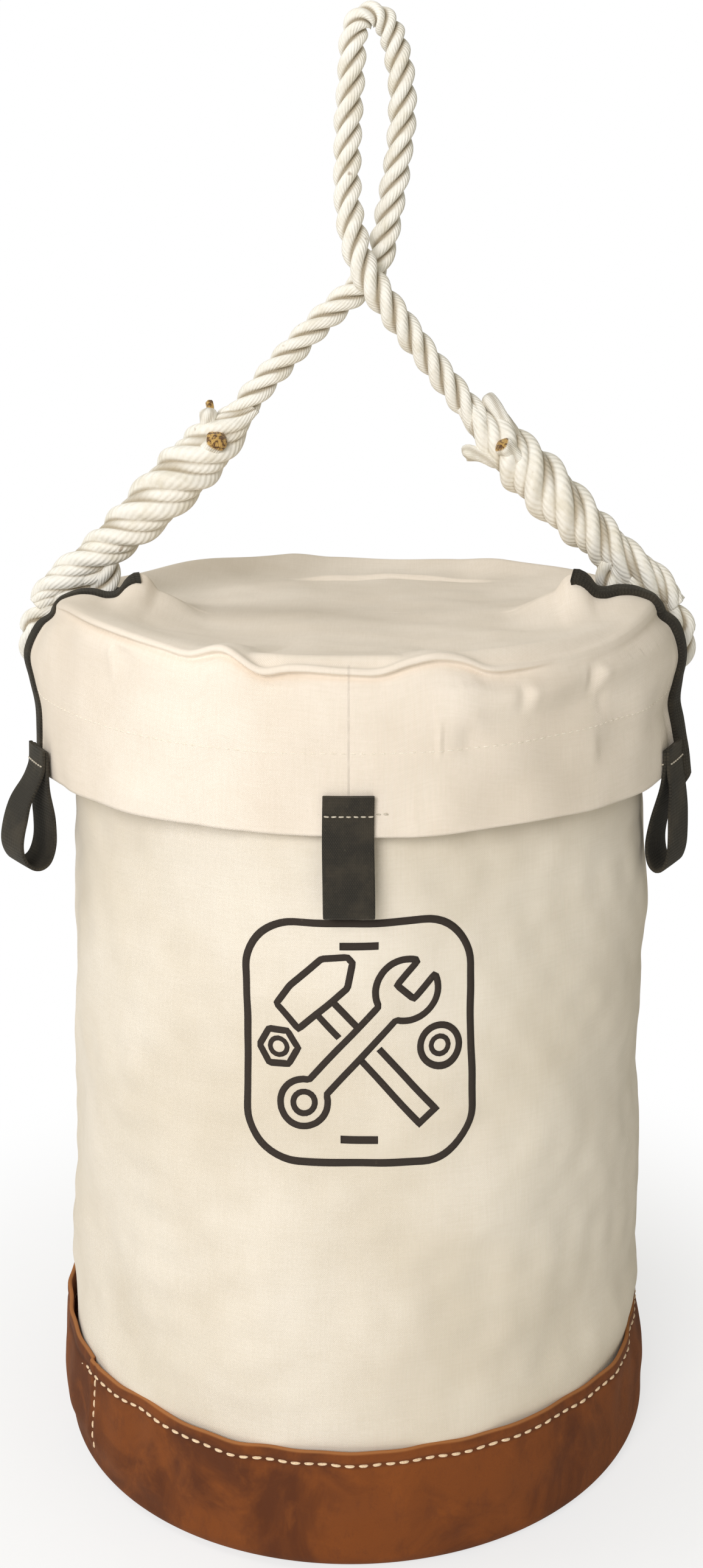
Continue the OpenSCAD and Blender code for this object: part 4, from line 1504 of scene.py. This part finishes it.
def make_rope_side(side):
    """Eye through the wall and round the rim, with the splice above it."""
    name = "right" if side > 0 else "left"

    def at(x, y, z):
        return (side * x, y, z)

    lean = math.radians(20)
    reach = 49.0
    throat = (eye_x - reach * math.sin(lean), eye_z + reach * math.cos(lean))
    eye = [at(throat[0] - 1.5, 0, throat[1] + 9), at(throat[0] + 2.0, 0, throat[1] - 8)]
    for degrees in (38, 12, -20, -52, -84, -116, -148, 180, 150, 128):
        a = math.radians(degrees)
        eye.append(at(eye_x + EYE_R * math.cos(a), 0, eye_z + EYE_R * math.sin(a)))
    eye += [at(throat[0] - 3.6, 0, throat[1] - 10), at(throat[0] - 1.5, 0, throat[1] + 9)]
    parts = [laid_rope("eye", smooth_path(eye, 1.1), 0.6 * side, seed=2)]
    along = np.array([-side, 0.0, 1.0]) / math.sqrt(2)
    foot = np.array(at(throat[0], 0, throat[1]))
    bow = np.array([side, 0.0, 1.0]) / math.sqrt(2)
    spine = [
        at(eye_x + 16.5, 0, eye_z + 19),
        at(eye_x + 9.0, 0, eye_z + 28.5),
        foot + along * -2 + bow * 2.0,
        foot + along * 14 + bow * 0.8,
        foot + along * 35,
        foot + along * 70,
        foot + along * 106,
        foot + along * 117,
    ]
    radius = 11.4 if side < 0 else 11.0
    parts.append(splice("splice", smooth_path(spine, 1.0), radius, 0.9 * side, seed=4))
    parts += [strand_end(path, r, melted) for path, r, melted in strand_ends(side, foot, along, bow)]
    rope = join(name + "_rope", parts)
    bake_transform(rope)
    finish_piece(rope, "rope", name + "_rope_eye", name + "_splice", name + "_splice_tails")


def strand_ends(side, foot, along, bow):
    """Paths of the strand ends, measured along the leg, out from it upwards and towards the viewer."""

    def at(run, out, near):
        return foot + along * run + bow * out + np.array([0, -near, 0])

    if side < 0:
        return [
            ([at(75, -1, 4), at(84, -1, 8), at(91, -0.5, 12), at(94, 0.5, 14.5)], 5.7, 0.34),
            ([at(82, 4, 2), at(91, 8.5, 4), at(97, 13, 4), at(99.5, 15.5, 4)], 4.4, 0.0),
            ([at(90, 4, 0), at(97, 11, 0), at(101, 16.5, 0), at(102, 18.5, 0)], 1.9, 0.4),
        ]
    return [
        ([at(82, 6, 2), at(96, 10.0, 2), at(107, 11.5, 1), at(112, 11.0, 0)], 4.2, 0.0),
        ([at(74, 1, 7), at(82, 0.5, 11), at(87, 0, 13.4), at(89.5, 0, 14.6)], 5.0, 0.16),
        ([at(80, -7, 2), at(90, -12.0, 4), at(97, -16.5, 5), at(98.5, -19.0, 5)], 4.2, 0.0),
    ]


def make_rope_top():
    """One rope from splice to splice: up the left leg, round the lifting eye and down the right leg."""
    shown = overall_h - ROPE_R
    path = [
        (-78, 0, 518.5), (-66, 0.5, 532), (-49, 2.0, 553), (-27, 5.5, 577), (-8, 9.0, 595),
        (4, 10.0, 605.5), (11.5, 9.0, 617), (15.0, 6.0, 631), (18.6, 2.5, 651), (22.4, 0.5, 673),
        (24.6, 0, 696), (23.8, 0, 718), (19.6, 0, 738), (13.8, 0, shown - 1.2), (7.4, 0, shown + 0.8),
        (1.2, 0, shown - 2.6), (-2.0, 0, 737.5), (-3.0, 0, 720), (-4.6, 0, 696), (-5.2, -1.0, 672),
        (-4.9, -3.0, 650), (-1.2, -7.0, 628), (4.4, -9.6, 611.5), (13, -9.8, 598), (24, -7.5, 583.5),
        (38, -4.5, 565), (53.5, -2.0, 545.5), (65.5, -0.5, 531.5), (78, 0, 518.5),
    ]
    points = smooth_path(path, 1.0)

    def swell(share):
        height = np.interp(share, np.linspace(0, 1, len(points)), points[:, 2])
        crossing = hump(height, 606, 26)
        return 1.04 + (0.04 + 0.08 * (share > 0.5)) * crossing - 0.07 * hump(share, 0.503, 0.022)

    def tight(share):
        return 1 + 0.8 * hump(share, 0.5, 0.035)

    rope = laid_rope("rope_top", points, 0.8, 6, swell, tight)
    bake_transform(rope)
    finish_piece(rope, "rope", "left_rope_leg", "right_rope_leg", "lifting_eye")


# ---------- printed pictogram ----------

# Its middle on the wall as (distance round from the front, height), and how far the ink stands proud.
EMBLEM_CENTRE = (4.5, 250.0)
INK_RAISE = 0.16
STROKE_SECTION = [(-0.5, INK_RAISE), (0, INK_RAISE + 0.03), (0.5, INK_RAISE), (0.5, -0.5), (-0.5, -0.5)]


def stroke(line, width=3.2, closed=True):
    """Printed line along points given across and up from the pictogram's middle."""
    line = np.array(line, float)
    if closed:
        line = np.concatenate([line, line[:1]])
    along = arc_length(line)
    wanted = np.linspace(0, along[-1], max(3, int(along[-1] / 1.6) + 1))
    line = resample(wanted, along, line)
    if closed:
        line = line[:-1]
        run = unit(np.roll(line, -1, 0) - np.roll(line, 1, 0))
    else:
        run = unit(np.gradient(line, axis=0))
    side = np.stack([-run[:, 1], run[:, 0]], 1)
    rings = []
    for offset, height in STROKE_SECTION:
        spot = line + side * offset * width
        phi = (spot[:, 0] + EMBLEM_CENTRE[0]) / bucket_r
        z = spot[:, 1] + EMBLEM_CENTRE[1]
        rings.append(on_wall(phi, wall_radius(phi, z) + height, z))
    points = np.stack(rings, 1)
    faces, places = grid_faces(len(line), len(STROKE_SECTION), closed, True)
    uv = np.stack([wanted[places[..., 0] % len(wanted)], places[..., 1] * width / 2], -1) * MM
    ends = [] if closed else end_caps(len(line), len(STROKE_SECTION))
    return new_piece("stroke", points, faces.tolist() + ends, INK, uv)


def turned(points, angle):
    """Points turned round the pictogram's middle."""
    c, s = math.cos(angle), math.sin(angle)
    return np.array(points, float) @ np.array([[c, s], [-s, c]])


def polygon(radius, centre, sides):
    """Corners of an even polygon, or of a near circle when it has many sides."""
    return arc_points(*centre, radius, 0, 360, sides + 1)[:-1]


def make_emblem():
    """Plain printed sign: crossed spanner and hammer with a nut and a washer in a rounded square."""
    half_w, half_h, corner = 54.0, 58.0, 24.0
    outline = []
    for sx, sy, start in ((1, 1, 0), (-1, 1, 90), (-1, -1, 180), (1, -1, 270)):
        outline += arc_points(sx * (half_w - corner), sy * (half_h - corner), corner, start, start + 90, 12)
    grow, lean = 1.2, math.radians(42)
    jaw, shank = 4.6, 5.0
    spanner = [(-jaw, 27), (-jaw, 37.4)]
    spanner += arc_points(0, 28, 12.5, 112, 248, 16)
    spanner += [(-jaw, 15.4), (-jaw, -24)]
    spanner += arc_points(0, -33, 9.5, 119, 421, 24)
    spanner += [(jaw, -24), (jaw, 15.4)]
    spanner += arc_points(0, 28, 12.5, -68, 68, 16)
    spanner += [(jaw, 37.4), (jaw, 27)]
    head = [(-14, 20), (-14, 33), (-5, 35), (12, 35), (20, 29), (20, 26), (12, 20)]
    foot = -40 * grow
    strokes = [
        stroke(outline, 3.6),
        stroke(turned(np.array(spanner) * grow, -lean)),
        stroke(turned(arc_points(0, -33 * grow, 5.2, 0, 360, 40), -lean), 2.8),
        stroke(turned(np.array(head) * grow, lean)),
    ]
    for x in (-shank, shank):
        strokes.append(stroke(turned([(x, 20 * grow), (x, 8 - x * 0.1)], lean), closed=False))
        strokes.append(stroke(turned([(x, -8 - x * 0.1), (x, foot)], lean), closed=False))
    strokes.append(stroke(turned([(-6.5, foot), (6.5, foot)], lean), closed=False))
    for x, sides in ((-38.5, 6), (38.5, 32)):
        strokes.append(stroke(polygon(9.5, (x, -3), sides)))
        strokes.append(stroke(polygon(4.2, (x, -3), 24), 2.4))
    for y in (47, -47):
        strokes.append(stroke([(-9, y), (9, y)], 3.6, False))
    fit(join("printed_sign", strokes), "bucket", "webbing")


# ---------- all the pieces ----------

make_canvas_body()
make_lining()
make_boot()
make_sole()
make_bucket_stitches()
lid_grid = lid_points()
lid_grid = settle(lid_grid)
make_lid(lid_grid)
make_bindings(lid_grid)
make_lid_stitches(lid_grid)
make_pull_loops()
make_rope_side(-1)
make_rope_side(1)
make_rope_top()
make_emblem()

# ---------- CAD pieces that stay ----------

# The CAD nodes that are shown as they are, with their material.
CARRIED = {
    "base_board": BOARD,
    "rim_hoop": STEEL,
    "left_grommet": BRASS,
    "right_grommet": BRASS,
}
for node, material in CARRIED.items():
    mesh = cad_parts[node].data
    mesh.materials.clear()
    mesh.materials.append(material)


# ---------- stage, light and camera ----------


def make_floor():
    """Wide pale floor that turns pure white away from the object, so that no horizon shows."""
    look = Look("floor")
    place = look.place()
    distance = look.node("ShaderNodeVectorMath", {"operation": "LENGTH"}, Vector=place).outputs["Value"]
    fine = look.noise(place, 60.0, 3.0)
    colour = look.mix(fine, srgb(246, 246, 246), srgb(250, 250, 250))
    look.finish(colour, 0.95)
    glow = look.node("ShaderNodeEmission", Color=(1, 1, 1, 1), Strength=1.0).outputs[0]
    seen = look.node("ShaderNodeLightPath").outputs["Is Camera Ray"]
    blend = look.tree.nodes.new("ShaderNodeMixShader")
    look.set(blend.inputs[0], look.maths("MULTIPLY", seen, look.ramp(distance, 0.16, 0.42, 0.7, 1.0)))
    look.set(blend.inputs[1], look.surface.outputs[0])
    look.set(blend.inputs[2], glow)
    output = look.tree.nodes["Material Output"]
    look.tree.links.new(blend.outputs[0], output.inputs["Surface"])
    size, level = 60000.0, -0.4
    points = [(-size, -size, level), (size, -size, level), (size, size, level), (-size, size, level)]
    floor = new_piece("floor", points, [(0, 1, 2, 3)], look.material)


def make_world():
    """White surroundings: full white to the camera, a softer even light on the object."""
    world = bpy.data.worlds.new("studio")
    world.use_nodes = True
    tree = world.node_tree
    tree.nodes.clear()
    kinds = ("OutputWorld", "MixShader", "Background", "Background", "LightPath")
    output, mixed, seen, light, path = (tree.nodes.new("ShaderNode" + kind) for kind in kinds)
    seen.inputs["Color"].default_value = (1, 1, 1, 1)
    light.inputs["Color"].default_value = (1.0, 0.955, 0.8, 1.0)
    light.inputs["Strength"].default_value = 0.34
    shares = (path.outputs["Is Camera Ray"], light.outputs[0], seen.outputs[0])
    for source, socket in zip(shares, mixed.inputs):
        tree.links.new(source, socket)
    tree.links.new(mixed.outputs[0], output.inputs["Surface"])
    bpy.context.scene.world = world


def area_light(name, place, target, size, power, colour=(1, 1, 1)):
    """Round soft light at a place, aimed at a target."""
    data = bpy.data.lights.new(name, "AREA")
    data.shape = "DISK"
    data.size = size
    data.energy = power
    data.color = colour
    lamp = bpy.data.objects.new(name, data)
    bpy.context.scene.collection.objects.link(lamp)
    lamp.location = place
    aim = Vector(target) - Vector(place)
    lamp.rotation_euler = aim.to_track_quat("-Z", "Y").to_euler()


def make_camera():
    """Camera at the photograph's viewing angle, with a shifted lens."""
    data = bpy.data.cameras.new("camera")
    camera = bpy.data.objects.new("camera", data)
    bpy.context.scene.collection.objects.link(camera)
    data.lens = 42.842
    data.shift_x = -0.0336
    data.shift_y = -0.2924
    camera.location = (0.025586, -1.015155, 0.612329)
    camera.rotation_euler = (math.radians(90) - 0.03, 0, 0)
    bpy.context.scene.camera = camera


make_floor()
make_world()
area_light("key", (-0.58, -1.91, 1.25), (0, 0, 0.3), 1.1, 29.5, (0.975, 0.965, 0.985))
area_light("top", (-1.3, 0.1, 1.9), (0, 0, 0.4), 1.0, 9)
make_camera()
bpy.context.scene.view_settings.view_transform = "Standard"
